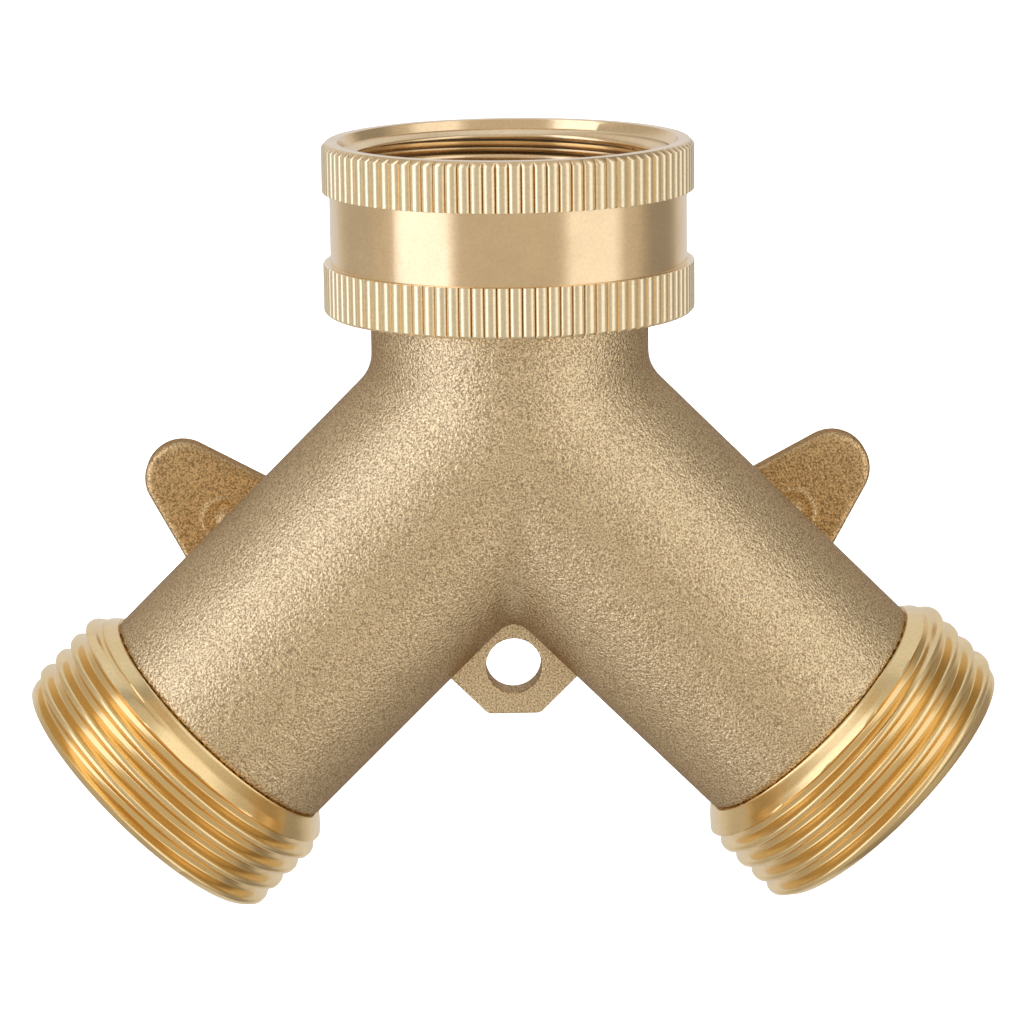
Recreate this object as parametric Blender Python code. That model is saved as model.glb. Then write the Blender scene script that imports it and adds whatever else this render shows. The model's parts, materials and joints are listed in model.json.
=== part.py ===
"""Two-way brass hose splitter with a lever valve in each outlet, modelled at its real size.

The frame: Z runs up the inlet's axis, X runs from the left outlet to the right one, and +Y is the side
with the levers. The origin is the centre of the inlet washer's upper face, where a tap's spout seals.
The three water ways meet at the junction, WASHER_TOP below the origin. Heights of the inlet pieces are
measured up from the junction, lengths along a leg are measured outwards from it, and lengths along a
stem are measured from the leg's axis towards +Y.
"""

import math

import bmesh
import bpy
from mathutils import Matrix, Vector

MM = 0.001

# Facets round a turned piece: the casting, other large diameters, bores and seats, small pins and seals.
ROUND_BODY = 48
ROUND_LARGE = 40
ROUND_MIDDLE = 28
ROUND_SMALL = 18

FIT_GAP = 0.3 * MM  # left between two pieces that touch
OVERRUN = 1.0 * MM  # how far a cutter, or a solid that is joined on, runs past the face it meets
FACET_OFFSET = math.radians(1.7)  # keeps the facets of crossing solids from lining up

# Cast body
NECK_RADIUS = 11.26 * MM
NECK_TOP = 9.2 * MM
LEG_RADIUS = 11.21 * MM
LEG_START = 0.4 * MM
LEG_LENGTH = 34.5 * MM
LEG_ANGLE = math.radians(45)  # of each leg below the horizontal
WATERWAY_RADIUS = 7.0 * MM
BORE_RADIUS = 9.6 * MM  # of the valve's chamber in each leg
BORE_START = 18.1 * MM
TAIL_BORE_RADIUS = 8.8 * MM
TAIL_BORE_BOTTOM = 3.1 * MM
INLET_WATERWAY_START = -3.0 * MM  # the bores start past the junction, so that they meet in it
LEG_WATERWAY_START = -2.0 * MM

# Hanging lug in the fork of the legs
LUG_THICKNESS = 2.5 * MM
LUG_HOLE_RADIUS = 2.37 * MM
LUG_HOLE_HEIGHT = -20.4 * MM
LUG_BOTTOM = -24.2 * MM
LUG_BOTTOM_HALF_WIDTH = 2.1 * MM
LUG_SHOULDER_HEIGHT = -21.5 * MM
LUG_SHOULDER_HALF_WIDTH = 5.2 * MM
LUG_ROOT_HEIGHT = -12.0 * MM  # inside the legs, where the lug is cast on

# Swivel nut, G 3/4 female
NUT_TOP = 23.3 * MM
NUT_BOTTOM = 9.65 * MM
NUT_RADIUS = 15.04 * MM  # over the knurled bands
NUT_WAIST_RADIUS = 14.41 * MM
NUT_BAND_HEIGHT = 4.0 * MM
NUT_CHAMFER = 0.5 * MM
NUT_MOUTH_RADIUS = 13.73 * MM
NUT_MOUTH_DEPTH = 1.1 * MM
NUT_THREAD_RADIUS = 12.3 * MM  # just outside the thread's crests
NUT_RELIEF_RADIUS = 13.3 * MM
NUT_RELIEF_TOP = 14.4 * MM
NUT_THREAD_BOTTOM = 14.9 * MM
NUT_LIP_RADIUS = 9.9 * MM
NUT_LIP_THICKNESS = 1.5 * MM

# Tailpiece that holds the nut on, and the washer on its flange
TAIL_BORE = 6.8 * MM
TAIL_SHANK_RADIUS = 8.5 * MM
TAIL_SHANK_BOTTOM = 3.4 * MM
TAIL_SEAL_HEIGHT = 6.15 * MM
TAIL_SEAL_RADIUS = 8.18 * MM
TAIL_SEAL_SECTION = 0.5 * MM
TAIL_GROOVE_HALF_WIDTH = 0.7 * MM
TAIL_GROOVE_RADIUS = 7.58 * MM
TAIL_BARREL_RADIUS = 9.6 * MM
TAIL_FLANGE_BOTTOM = 11.5 * MM
TAIL_FLANGE_RADIUS = 11.7 * MM
TAIL_FLANGE_TOP = 12.8 * MM
WASHER_BOTTOM = 13.1 * MM
WASHER_TOP = 15.7 * MM
WASHER_RADIUS = 11.8 * MM
WASHER_HOLE_RADIUS = 7.2 * MM

# Outlet nipple, G 3/4 male
NIPPLE_START = 31.9 * MM
NIPPLE_END = 43.5 * MM
NIPPLE_BORE = 6.9 * MM
NIPPLE_SHANK_RADIUS = 9.3 * MM
NIPPLE_COLLAR_RADIUS = 12.5 * MM
NIPPLE_COLLAR_END = 35.9 * MM
NIPPLE_THREAD_RADIUS = 13.22 * MM
NIPPLE_THREAD_START = 36.5 * MM
NIPPLE_THREAD_END = 43.0 * MM
NIPPLE_FACE_RADIUS = 12.62 * MM
NIPPLE_MOUTH_RADIUS = 8.5 * MM
NIPPLE_MOUTH_START = 37.5 * MM
NIPPLE_BORE_END = 36.5 * MM
NIPPLE_SEAL_PLACE = 33.3 * MM
NIPPLE_SEAL_RADIUS = 8.85 * MM
NIPPLE_SEAL_SECTION = 0.6 * MM
NIPPLE_GROOVE_HALF_WIDTH = 0.75 * MM
NIPPLE_GROOVE_RADIUS = 8.1 * MM

# Ball valve
VALVE_PLACE = 25.0 * MM  # of the ball's centre along the leg
BALL_RADIUS = 7.5 * MM
PORT_RADIUS = 4.75 * MM
SEAT_SPHERE_RADIUS = 7.75 * MM
SEAT_RADIUS = 9.3 * MM
SEAT_BORE = 4.9 * MM
SEAT_NEAR = 4.3 * MM  # from the ball's centre to a seat's inner face
SEAT_FAR = 6.6 * MM
SLOT_WIDTH = 2.1 * MM
SLOT_FLOOR = 5.7 * MM

# Stem, along +Y from the leg's axis
TANG_WIDTH = 1.5 * MM
TANG_LENGTH = 4.4 * MM
TANG_BOTTOM = 6.0 * MM
STEM_FLANGE_BOTTOM = 8.0 * MM
STEM_FLANGE_TOP = 9.3 * MM
STEM_FLANGE_RADIUS = 3.8 * MM
STEM_RADIUS = 3.0 * MM
STEM_HEAD_RADIUS = 2.9 * MM
STEM_HEAD_HALF_FLATS = 2.0 * MM
FLAT_CUTTER_HALF = 2.0 * MM
STEM_SHOULDER = 14.95 * MM
STEM_TOP = 17.8 * MM
STEM_THREAD_RADIUS = 1.5 * MM
STEM_THREAD_BOTTOM = 13.8 * MM
STEM_SEAL_PLACE = 12.4 * MM
STEM_SEAL_RADIUS = 2.52 * MM
STEM_SEAL_SECTION = 0.55 * MM
STEM_GROOVE_HALF_WIDTH = 0.7 * MM
STEM_GROOVE_RADIUS = 1.89 * MM
STEM_WASHER_BOTTOM = 9.5 * MM
STEM_WASHER_TOP = 10.0 * MM
STEM_WASHER_HOLE = 3.2 * MM
STEM_CHAMBER_RADIUS = 4.1 * MM
STEM_CHAMBER_TOP = 10.2 * MM
STEM_HOLE_RADIUS = 3.3 * MM
BOSS_RADIUS = 5.6 * MM
BOSS_BOTTOM = 6.5 * MM  # inside the leg
BOSS_TOP = 14.9 * MM
STOP_RADIUS = 7.6 * MM
STOP_BOTTOM = 8.0 * MM
STOP_ROOT_RADIUS = 5.0 * MM  # inside the boss

# Lever handle
VALVE_TURN = math.radians(90)
HANDLE_BOTTOM = 15.2 * MM
HANDLE_TOP = 18.0 * MM
HUB_RADIUS = 7.05 * MM
TIP_RADIUS = 2.95 * MM
LEVER_LENGTH = 14.5 * MM  # from the hub's centre to the tip's
TAB_INNER_RADIUS = 5.95 * MM
TAB_OUTER_RADIUS = 7.0 * MM
TAB_BOTTOM = 12.6 * MM
TAB_ANGLE = math.radians(40)
STOP_CLEARANCE = math.radians(2)
HANDLE_WASHER_BOTTOM = 18.2 * MM
HANDLE_WASHER_TOP = 18.8 * MM
HANDLE_WASHER_RADIUS = 3.7 * MM
SCREW_RADIUS = 1.25 * MM
SCREW_BOTTOM = 14.1 * MM
SCREW_HEAD_BOTTOM = 19.0 * MM
SCREW_HEAD_TOP = 20.8 * MM
SCREW_HEAD_RADIUS = 2.7 * MM
SCREW_HEAD_SIDE_TOP = 19.9 * MM  # the head's crown rises from here in two steps
SCREW_CROWN_RADIUS = 2.2 * MM
SCREW_CROWN_HEIGHT = 20.6 * MM
SCREW_TOP_RADIUS = 1.4 * MM
SCREW_RECESS_WIDTH = 0.7 * MM
SCREW_RECESS_LENGTH = 3.0 * MM
SCREW_RECESS_DEPTH = 1.1 * MM

SIDES = {"left": -1, "right": 1}

# name: (colour, metallic, roughness)
FINISHES = {
    "cast_brass": ((0.55, 0.38, 0.19), 1.0, 0.5),
    "turned_brass": ((0.78, 0.58, 0.32), 1.0, 0.22),
    "ball_chrome": ((0.75, 0.75, 0.76), 1.0, 0.1),
    "seal_rubber": ((0.02, 0.02, 0.02), 0.0, 0.7),
    "seat_plastic": ((0.86, 0.85, 0.82), 0.0, 0.45),
    "screw_steel": ((0.6, 0.6, 0.6), 1.0, 0.3),
}


def clear_scene():
    for obj in list(bpy.data.objects):
        bpy.data.objects.remove(obj)


def make_materials():
    materials = {}
    for name, (colour, metallic, roughness) in FINISHES.items():
        material = bpy.data.materials.new(name)
        material.use_nodes = True
        shader = material.node_tree.nodes["Principled BSDF"]
        shader.inputs["Base Color"].default_value = (*colour, 1)
        shader.inputs["Metallic"].default_value = metallic
        shader.inputs["Roughness"].default_value = roughness
        materials[name] = material
    return materials


def junction_frame():
    """Local Z up the inlet's axis from the junction."""
    return Matrix.Translation((0, 0, -WASHER_TOP))


def frame_along(origin, z_axis, x_axis):
    """A frame at origin, with its local Z and X along the given axes."""
    y_axis = z_axis.cross(x_axis)
    turn = Matrix((x_axis, y_axis, z_axis)).transposed().to_4x4()
    return Matrix.Translation(origin) @ turn


def leg_direction(side):
    return Vector((side * math.cos(LEG_ANGLE), 0, -math.sin(LEG_ANGLE)))


def leg_frame(side):
    """Local Z outwards along the leg from the junction, and local X towards +Y."""
    return frame_along(Vector((0, 0, -WASHER_TOP)), leg_direction(side), Vector((0, 1, 0)))


def closed_lever_direction(side):
    return Vector((side * math.sin(LEG_ANGLE), 0, math.cos(LEG_ANGLE)))


def stem_frame(side):
    """Local Z along the stem towards +Y from the leg's axis, and local X along the closed lever."""
    origin = Vector((0, 0, -WASHER_TOP)) + leg_direction(side) * VALVE_PLACE
    return frame_along(origin, Vector((0, 1, 0)), closed_lever_direction(side))


def port_frame(side):
    """Local Z along the port of the closed ball, from the ball's centre."""
    origin = Vector((0, 0, -WASHER_TOP)) + leg_direction(side) * VALVE_PLACE
    return frame_along(origin, closed_lever_direction(side), Vector((0, 1, 0)))


def add_object(name, mesh_builder, frame, material=None):
    """A mesh object from a bmesh, smooth where its faces meet at a shallow angle."""
    bmesh.ops.remove_doubles(mesh_builder, verts=mesh_builder.verts, dist=1e-7)
    bmesh.ops.recalc_face_normals(mesh_builder, faces=mesh_builder.faces)
    mesh = bpy.data.meshes.new(name)
    mesh_builder.to_mesh(mesh)
    mesh_builder.free()
    mesh.shade_smooth()
    mesh.set_sharp_from_angle(angle=math.radians(35))
    obj = bpy.data.objects.new(name, mesh)
    bpy.context.scene.collection.objects.link(obj)
    obj.matrix_world = frame
    if material:
        mesh.materials.append(material)
    return obj


def turned(name, profile, steps, frame, material=None, closed=True):
    """A solid of revolution about local Z from (radius, height) points; an open profile ends on the axis."""
    builder = bmesh.new()
    points = [builder.verts.new((radius, 0, height)) for radius, height in profile]
    ends = points[1:] + points[:1] if closed else points[1:]
    edges = [builder.edges.new(pair) for pair in zip(points, ends)]
    bmesh.ops.spin(
        builder,
        geom=points + edges,
        cent=(0, 0, 0),
        axis=(0, 0, 1),
        angle=2 * math.pi,
        steps=steps,
        use_merge=True,
        use_duplicate=False,
    )
    return add_object(name, builder, frame, material)


def cylinder(name, radius, low, high, steps, frame, material=None):
    profile = [(0, low), (radius, low), (radius, high), (0, high)]
    return turned(name, profile, steps, frame, material, closed=False)


def extruded(name, outline, low, high, frame, material=None):
    """A prism along local Z with the given outline in local X and Y."""
    builder = bmesh.new()
    base = builder.faces.new([builder.verts.new((x, y, low)) for x, y in outline])
    moved = bmesh.ops.extrude_face_region(builder, geom=[base])["geom"]
    top = [item for item in moved if isinstance(item, bmesh.types.BMVert)]
    bmesh.ops.translate(builder, verts=top, vec=(0, 0, high - low))
    return add_object(name, builder, frame, material)


def block(name, x_half, y_half, low, high, frame, material=None):
    outline = [(-x_half, -y_half), (x_half, -y_half), (x_half, y_half), (-x_half, y_half)]
    return extruded(name, outline, low, high, frame, material)


def arc(radius, start, end, count, centre=(0.0, 0.0)):
    """Points along an arc, both ends included."""
    angles = [start + (end - start) * index / (count - 1) for index in range(count)]
    return [(centre[0] + radius * math.cos(a), centre[1] + radius * math.sin(a)) for a in angles]


def combine(target, tool, operation):
    """A Boolean modifier on target. The tool stays in the scene as a hidden guide."""
    modifier = target.modifiers.new(tool.name, "BOOLEAN")
    modifier.operation = operation
    modifier.solver = "EXACT"
    modifier.object = tool
    tool.hide_render = True
    tool.display_type = "WIRE"


def seal_ring(name, radius, section, place, frame, material):
    profile = [
        (radius + r, place + h)
        for r, h in arc(section, 0, 2 * math.pi * 7 / 8, 8)
    ]
    return turned(name, profile, ROUND_SMALL, frame, material)


def washer(name, hole, radius, low, high, steps, frame, material):
    profile = [(hole, low), (radius, low), (radius, high), (hole, high)]
    return turned(name, profile, steps, frame, material)


def build_body(materials):
    up = junction_frame()
    body = cylinder("y_body", NECK_RADIUS, 0, NECK_TOP, ROUND_BODY, up, materials["cast_brass"])
    for word, side in SIDES.items():
        leg_place = leg_frame(side) @ Matrix.Rotation(FACET_OFFSET, 4, "Z")
        leg = cylinder(f"{word}_leg_solid", LEG_RADIUS, LEG_START, LEG_LENGTH, ROUND_BODY, leg_place)
        combine(body, leg, "UNION")
    for word, side in SIDES.items():
        boss_place = stem_frame(side) @ Matrix.Rotation(FACET_OFFSET, 4, "Z")
        boss = cylinder(f"{word}_boss_solid", BOSS_RADIUS, BOSS_BOTTOM, BOSS_TOP, ROUND_MIDDLE, boss_place)
        combine(body, boss, "UNION")
        combine(body, stop_collar(word, side), "UNION")
    combine(body, lug_solid(), "UNION")
    combine(body, inlet_cutter(), "DIFFERENCE")
    for word, side in SIDES.items():
        combine(body, leg_cutter(word, side), "DIFFERENCE")
        combine(body, stem_cutter(word, side), "DIFFERENCE")
    return body


def stop_collar(word, side):
    """The raised sector round the boss that the handle's tab meets at both ends of its turn."""
    free = TAB_ANGLE / 2 + STOP_CLEARANCE
    start = math.pi + side * (VALVE_TURN + free)
    end = math.pi + side * (2 * math.pi - free)
    outline = arc(STOP_RADIUS, start, end, 17)
    outline += arc(STOP_ROOT_RADIUS, end, start, 13)
    return extruded(f"{word}_stop_solid", outline, STOP_BOTTOM, BOSS_TOP, stem_frame(side))


def lug_solid():
    outline = [
        (-LUG_SHOULDER_HALF_WIDTH, LUG_ROOT_HEIGHT),
        (-LUG_SHOULDER_HALF_WIDTH, LUG_SHOULDER_HEIGHT),
        (-LUG_BOTTOM_HALF_WIDTH, LUG_BOTTOM),
        (LUG_BOTTOM_HALF_WIDTH, LUG_BOTTOM),
        (LUG_SHOULDER_HALF_WIDTH, LUG_SHOULDER_HEIGHT),
        (LUG_SHOULDER_HALF_WIDTH, LUG_ROOT_HEIGHT),
    ]
    # Local X stays along X, local Y becomes up and local Z becomes -Y.
    upright = junction_frame() @ Matrix.Rotation(math.radians(90), 4, "X")
    lug = extruded("lug_solid", outline, -LUG_THICKNESS / 2, LUG_THICKNESS / 2, upright)
    hole_place = upright @ Matrix.Translation((0, LUG_HOLE_HEIGHT, 0))
    hole = cylinder(
        "lug_hole_cutter", LUG_HOLE_RADIUS, -LUG_THICKNESS, LUG_THICKNESS, ROUND_MIDDLE, hole_place
    )
    combine(lug, hole, "DIFFERENCE")
    return lug


def inlet_cutter():
    """The tailpiece's socket and the water way below it."""
    profile = [
        (0, INLET_WATERWAY_START),
        (WATERWAY_RADIUS, INLET_WATERWAY_START),
        (WATERWAY_RADIUS, TAIL_BORE_BOTTOM),
        (TAIL_BORE_RADIUS, TAIL_BORE_BOTTOM),
        (TAIL_BORE_RADIUS, NECK_TOP + OVERRUN),
        (0, NECK_TOP + OVERRUN),
    ]
    return turned("inlet_cutter", profile, ROUND_MIDDLE, junction_frame(), closed=False)


def leg_cutter(word, side):
    """The water way from the junction and the valve's chamber beyond its shoulder."""
    profile = [
        (0, LEG_WATERWAY_START),
        (WATERWAY_RADIUS, LEG_WATERWAY_START),
        (WATERWAY_RADIUS, BORE_START),
        (BORE_RADIUS, BORE_START),
        (BORE_RADIUS, LEG_LENGTH + OVERRUN),
        (0, LEG_LENGTH + OVERRUN),
    ]
    return turned(f"{word}_leg_cutter", profile, ROUND_MIDDLE, leg_frame(side), closed=False)


def stem_cutter(word, side):
    """The stem's hole through the boss, and the wider chamber for its flange and thrust washer."""
    profile = [
        (0, TANG_BOTTOM),
        (STEM_CHAMBER_RADIUS, TANG_BOTTOM),
        (STEM_CHAMBER_RADIUS, STEM_CHAMBER_TOP),
        (STEM_HOLE_RADIUS, STEM_CHAMBER_TOP),
        (STEM_HOLE_RADIUS, BOSS_TOP + OVERRUN),
        (0, BOSS_TOP + OVERRUN),
    ]
    return turned(f"{word}_stem_cutter", profile, ROUND_MIDDLE, stem_frame(side), closed=False)


def build_inlet(materials):
    up = junction_frame()
    shoulder = NUT_RADIUS - NUT_CHAMFER
    nut = [
        (NUT_MOUTH_RADIUS, NUT_TOP),
        (shoulder, NUT_TOP),
        (NUT_RADIUS, NUT_TOP - NUT_CHAMFER),
        (NUT_RADIUS, NUT_TOP - NUT_BAND_HEIGHT),
        (NUT_WAIST_RADIUS, NUT_TOP - NUT_BAND_HEIGHT),
        (NUT_WAIST_RADIUS, NUT_BOTTOM + NUT_BAND_HEIGHT),
        (NUT_RADIUS, NUT_BOTTOM + NUT_BAND_HEIGHT - NUT_CHAMFER),
        (NUT_RADIUS, NUT_BOTTOM + NUT_CHAMFER),
        (shoulder, NUT_BOTTOM),
        (NUT_LIP_RADIUS, NUT_BOTTOM),
        (NUT_LIP_RADIUS, NUT_BOTTOM + NUT_LIP_THICKNESS),
        (NUT_RELIEF_RADIUS, NUT_BOTTOM + NUT_LIP_THICKNESS),
        (NUT_RELIEF_RADIUS, NUT_RELIEF_TOP),
        (NUT_THREAD_RADIUS, NUT_THREAD_BOTTOM),
        (NUT_THREAD_RADIUS, NUT_TOP - NUT_MOUTH_DEPTH),
    ]
    turned("swivel_nut", nut, ROUND_LARGE, up, materials["turned_brass"])

    barrel_bottom = NECK_TOP + FIT_GAP
    tail = [
        (TAIL_BORE, TAIL_SHANK_BOTTOM),
        (TAIL_SHANK_RADIUS, TAIL_SHANK_BOTTOM),
        (TAIL_SHANK_RADIUS, TAIL_SEAL_HEIGHT - TAIL_GROOVE_HALF_WIDTH),
        (TAIL_GROOVE_RADIUS, TAIL_SEAL_HEIGHT - TAIL_GROOVE_HALF_WIDTH),
        (TAIL_GROOVE_RADIUS, TAIL_SEAL_HEIGHT + TAIL_GROOVE_HALF_WIDTH),
        (TAIL_SHANK_RADIUS, TAIL_SEAL_HEIGHT + TAIL_GROOVE_HALF_WIDTH),
        (TAIL_SHANK_RADIUS, barrel_bottom),
        (TAIL_BARREL_RADIUS, barrel_bottom),
        (TAIL_BARREL_RADIUS, TAIL_FLANGE_BOTTOM),
        (TAIL_FLANGE_RADIUS, TAIL_FLANGE_BOTTOM),
        (TAIL_FLANGE_RADIUS, TAIL_FLANGE_TOP),
        (TAIL_BORE, TAIL_FLANGE_TOP),
    ]
    turned("inlet_tailpiece", tail, ROUND_MIDDLE, up, materials["turned_brass"])
    seal_ring(
        "tailpiece_seal", TAIL_SEAL_RADIUS, TAIL_SEAL_SECTION, TAIL_SEAL_HEIGHT, up, materials["seal_rubber"]
    )
    washer(
        "inlet_washer", WASHER_HOLE_RADIUS, WASHER_RADIUS, WASHER_BOTTOM, WASHER_TOP,
        ROUND_MIDDLE, up, materials["seal_rubber"],
    )


def build_outlet(word, side, materials):
    """The nipple that screws into the leg's end and carries the hose thread, with its seal."""
    along = leg_frame(side)
    nipple = [
        (NIPPLE_BORE, NIPPLE_START),
        (NIPPLE_SHANK_RADIUS, NIPPLE_START),
        (NIPPLE_SHANK_RADIUS, NIPPLE_SEAL_PLACE - NIPPLE_GROOVE_HALF_WIDTH),
        (NIPPLE_GROOVE_RADIUS, NIPPLE_SEAL_PLACE - NIPPLE_GROOVE_HALF_WIDTH),
        (NIPPLE_GROOVE_RADIUS, NIPPLE_SEAL_PLACE + NIPPLE_GROOVE_HALF_WIDTH),
        (NIPPLE_SHANK_RADIUS, NIPPLE_SEAL_PLACE + NIPPLE_GROOVE_HALF_WIDTH),
        (NIPPLE_SHANK_RADIUS, LEG_LENGTH + FIT_GAP),
        (NIPPLE_COLLAR_RADIUS, LEG_LENGTH + FIT_GAP),
        (NIPPLE_COLLAR_RADIUS, NIPPLE_COLLAR_END),
        (NIPPLE_THREAD_RADIUS, NIPPLE_THREAD_START),
        (NIPPLE_THREAD_RADIUS, NIPPLE_THREAD_END),
        (NIPPLE_FACE_RADIUS, NIPPLE_END),
        (NIPPLE_MOUTH_RADIUS, NIPPLE_END),
        (NIPPLE_MOUTH_RADIUS, NIPPLE_MOUTH_START),
        (NIPPLE_BORE, NIPPLE_BORE_END),
    ]
    turned(f"{word}_outlet_nipple", nipple, ROUND_LARGE, along, materials["turned_brass"])
    seal_ring(
        f"{word}_nipple_seal", NIPPLE_SEAL_RADIUS, NIPPLE_SEAL_SECTION, NIPPLE_SEAL_PLACE,
        along, materials["seal_rubber"],
    )


def build_seats(word, side, materials):
    """Two plastic rings with a hollow spherical face each, either side of the ball."""
    widest = math.asin(SEAT_NEAR / SEAT_SPHERE_RADIUS)
    narrowest = math.acos(SEAT_BORE / SEAT_SPHERE_RADIUS)
    for name, way in (("inner", -1), ("outer", 1)):
        cup = arc(SEAT_SPHERE_RADIUS, widest, narrowest, 3)
        ring = cup + [(SEAT_BORE, SEAT_FAR), (SEAT_RADIUS, SEAT_FAR), (SEAT_RADIUS, SEAT_NEAR)]
        profile = [(radius, VALVE_PLACE + way * height) for radius, height in ring]
        turned(f"{word}_{name}_seat", profile, ROUND_MIDDLE, leg_frame(side), materials["seat_plastic"])


def build_ball(word, side, materials):
    edge = math.acos(PORT_RADIUS / BALL_RADIUS)
    ball = turned(
        f"{word}_ball", arc(BALL_RADIUS, -edge, edge, 8), ROUND_MIDDLE, port_frame(side),
        materials["ball_chrome"],
    )
    slot = block(
        f"{word}_slot_cutter", SLOT_WIDTH / 2, BALL_RADIUS, SLOT_FLOOR, BALL_RADIUS + OVERRUN,
        stem_frame(side),
    )
    combine(ball, slot, "DIFFERENCE")


def build_stem(word, side, materials):
    """Stem with its tang in the ball's slot, a flange inside the body, a seal groove and two flats."""
    along = stem_frame(side)
    profile = [
        (0, STEM_FLANGE_BOTTOM),
        (STEM_FLANGE_RADIUS, STEM_FLANGE_BOTTOM),
        (STEM_FLANGE_RADIUS, STEM_FLANGE_TOP),
        (STEM_RADIUS, STEM_FLANGE_TOP),
        (STEM_RADIUS, STEM_SEAL_PLACE - STEM_GROOVE_HALF_WIDTH),
        (STEM_GROOVE_RADIUS, STEM_SEAL_PLACE - STEM_GROOVE_HALF_WIDTH),
        (STEM_GROOVE_RADIUS, STEM_SEAL_PLACE + STEM_GROOVE_HALF_WIDTH),
        (STEM_RADIUS, STEM_SEAL_PLACE + STEM_GROOVE_HALF_WIDTH),
        (STEM_RADIUS, STEM_SHOULDER),
        (STEM_HEAD_RADIUS, STEM_SHOULDER),
        (STEM_HEAD_RADIUS, STEM_TOP),
        (STEM_THREAD_RADIUS, STEM_TOP),
        (STEM_THREAD_RADIUS, STEM_THREAD_BOTTOM),
        (0, STEM_THREAD_BOTTOM),
    ]
    stem = turned(f"{word}_stem", profile, ROUND_SMALL, along, materials["turned_brass"], closed=False)
    tang = block(
        f"{word}_tang_solid", TANG_WIDTH / 2, TANG_LENGTH / 2, TANG_BOTTOM,
        STEM_FLANGE_BOTTOM + OVERRUN / 2, along,
    )
    combine(stem, tang, "UNION")
    for way in (-1, 1):
        beside = along @ Matrix.Translation((0, way * (STEM_HEAD_HALF_FLATS + FLAT_CUTTER_HALF), 0))
        flat = block(
            f"{word}_stem_flat_{way + 2}_cutter", 2 * FLAT_CUTTER_HALF, FLAT_CUTTER_HALF, STEM_SHOULDER,
            STEM_TOP + OVERRUN, beside,
        )
        combine(stem, flat, "DIFFERENCE")
    seal_ring(
        f"{word}_stem_seal", STEM_SEAL_RADIUS, STEM_SEAL_SECTION, STEM_SEAL_PLACE,
        along, materials["seal_rubber"],
    )
    washer(
        f"{word}_stem_washer", STEM_WASHER_HOLE, STEM_FLANGE_RADIUS, STEM_WASHER_BOTTOM,
        STEM_WASHER_TOP, ROUND_SMALL, along, materials["seat_plastic"],
    )


def build_handle(word, side, materials):
    """Teardrop lever with a stop tab under its hub, held on the stem's flats by a washer and a screw."""
    along = stem_frame(side)
    tangent = math.acos((HUB_RADIUS - TIP_RADIUS) / LEVER_LENGTH)
    outline = arc(HUB_RADIUS, tangent, 2 * math.pi - tangent, 23)
    outline += arc(TIP_RADIUS, -tangent, tangent, 11, (LEVER_LENGTH, 0))
    handle = extruded(f"{word}_handle", outline, HANDLE_BOTTOM, HANDLE_TOP, along, materials["cast_brass"])

    tab_start = math.pi - TAB_ANGLE / 2
    tab_end = math.pi + TAB_ANGLE / 2
    tab_outline = arc(TAB_OUTER_RADIUS, tab_start, tab_end, 5)
    tab_outline += arc(TAB_INNER_RADIUS, tab_end, tab_start, 5)
    tab = extruded(f"{word}_tab_solid", tab_outline, TAB_BOTTOM, HANDLE_BOTTOM + OVERRUN, along)
    combine(handle, tab, "UNION")

    hole_radius = STEM_HEAD_RADIUS + FIT_GAP
    flats_angle = math.asin((STEM_HEAD_HALF_FLATS + FIT_GAP) / hole_radius)
    hole_outline = arc(hole_radius, -flats_angle, flats_angle, 7)
    hole_outline += arc(hole_radius, math.pi - flats_angle, math.pi + flats_angle, 7)
    hole = extruded(
        f"{word}_handle_hole_cutter", hole_outline, HANDLE_BOTTOM - OVERRUN, HANDLE_TOP + OVERRUN, along
    )
    combine(handle, hole, "DIFFERENCE")

    washer(
        f"{word}_handle_washer", SCREW_RADIUS + FIT_GAP, HANDLE_WASHER_RADIUS, HANDLE_WASHER_BOTTOM,
        HANDLE_WASHER_TOP, ROUND_SMALL, along, materials["screw_steel"],
    )
    profile = [
        (0, SCREW_BOTTOM),
        (SCREW_RADIUS, SCREW_BOTTOM),
        (SCREW_RADIUS, SCREW_HEAD_BOTTOM),
        (SCREW_HEAD_RADIUS, SCREW_HEAD_BOTTOM),
        (SCREW_HEAD_RADIUS, SCREW_HEAD_SIDE_TOP),
        (SCREW_CROWN_RADIUS, SCREW_CROWN_HEIGHT),
        (SCREW_TOP_RADIUS, SCREW_HEAD_TOP),
        (0, SCREW_HEAD_TOP),
    ]
    screw = turned(
        f"{word}_handle_screw", profile, ROUND_SMALL, along, materials["screw_steel"], closed=False
    )
    for number, (x_half, y_half) in enumerate(
        [(SCREW_RECESS_LENGTH / 2, SCREW_RECESS_WIDTH / 2), (SCREW_RECESS_WIDTH / 2, SCREW_RECESS_LENGTH / 2)]
    ):
        recess = block(
            f"{word}_recess_{number + 1}_cutter", x_half, y_half,
            SCREW_HEAD_TOP - SCREW_RECESS_DEPTH, SCREW_HEAD_TOP + OVERRUN, along,
        )
        combine(screw, recess, "DIFFERENCE")


def main():
    clear_scene()
    materials = make_materials()
    build_body(materials)
    build_inlet(materials)
    for word, side in SIDES.items():
        build_outlet(word, side, materials)
        build_seats(word, side, materials)
        build_ball(word, side, materials)
        build_stem(word, side, materials)
        build_handle(word, side, materials)


main()
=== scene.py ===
"""Looks of a two-way brass hose splitter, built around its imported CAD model.

Lengths are in metres, in the CAD's frame: Z runs up the inlet's axis and +Y is the side with the levers.
The three water ways meet at the junction. Inlet heights are measured up from it, leg distances outwards
along a leg from it, and stem distances from a leg's axis towards +Y.
"""

import json
import math

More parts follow.
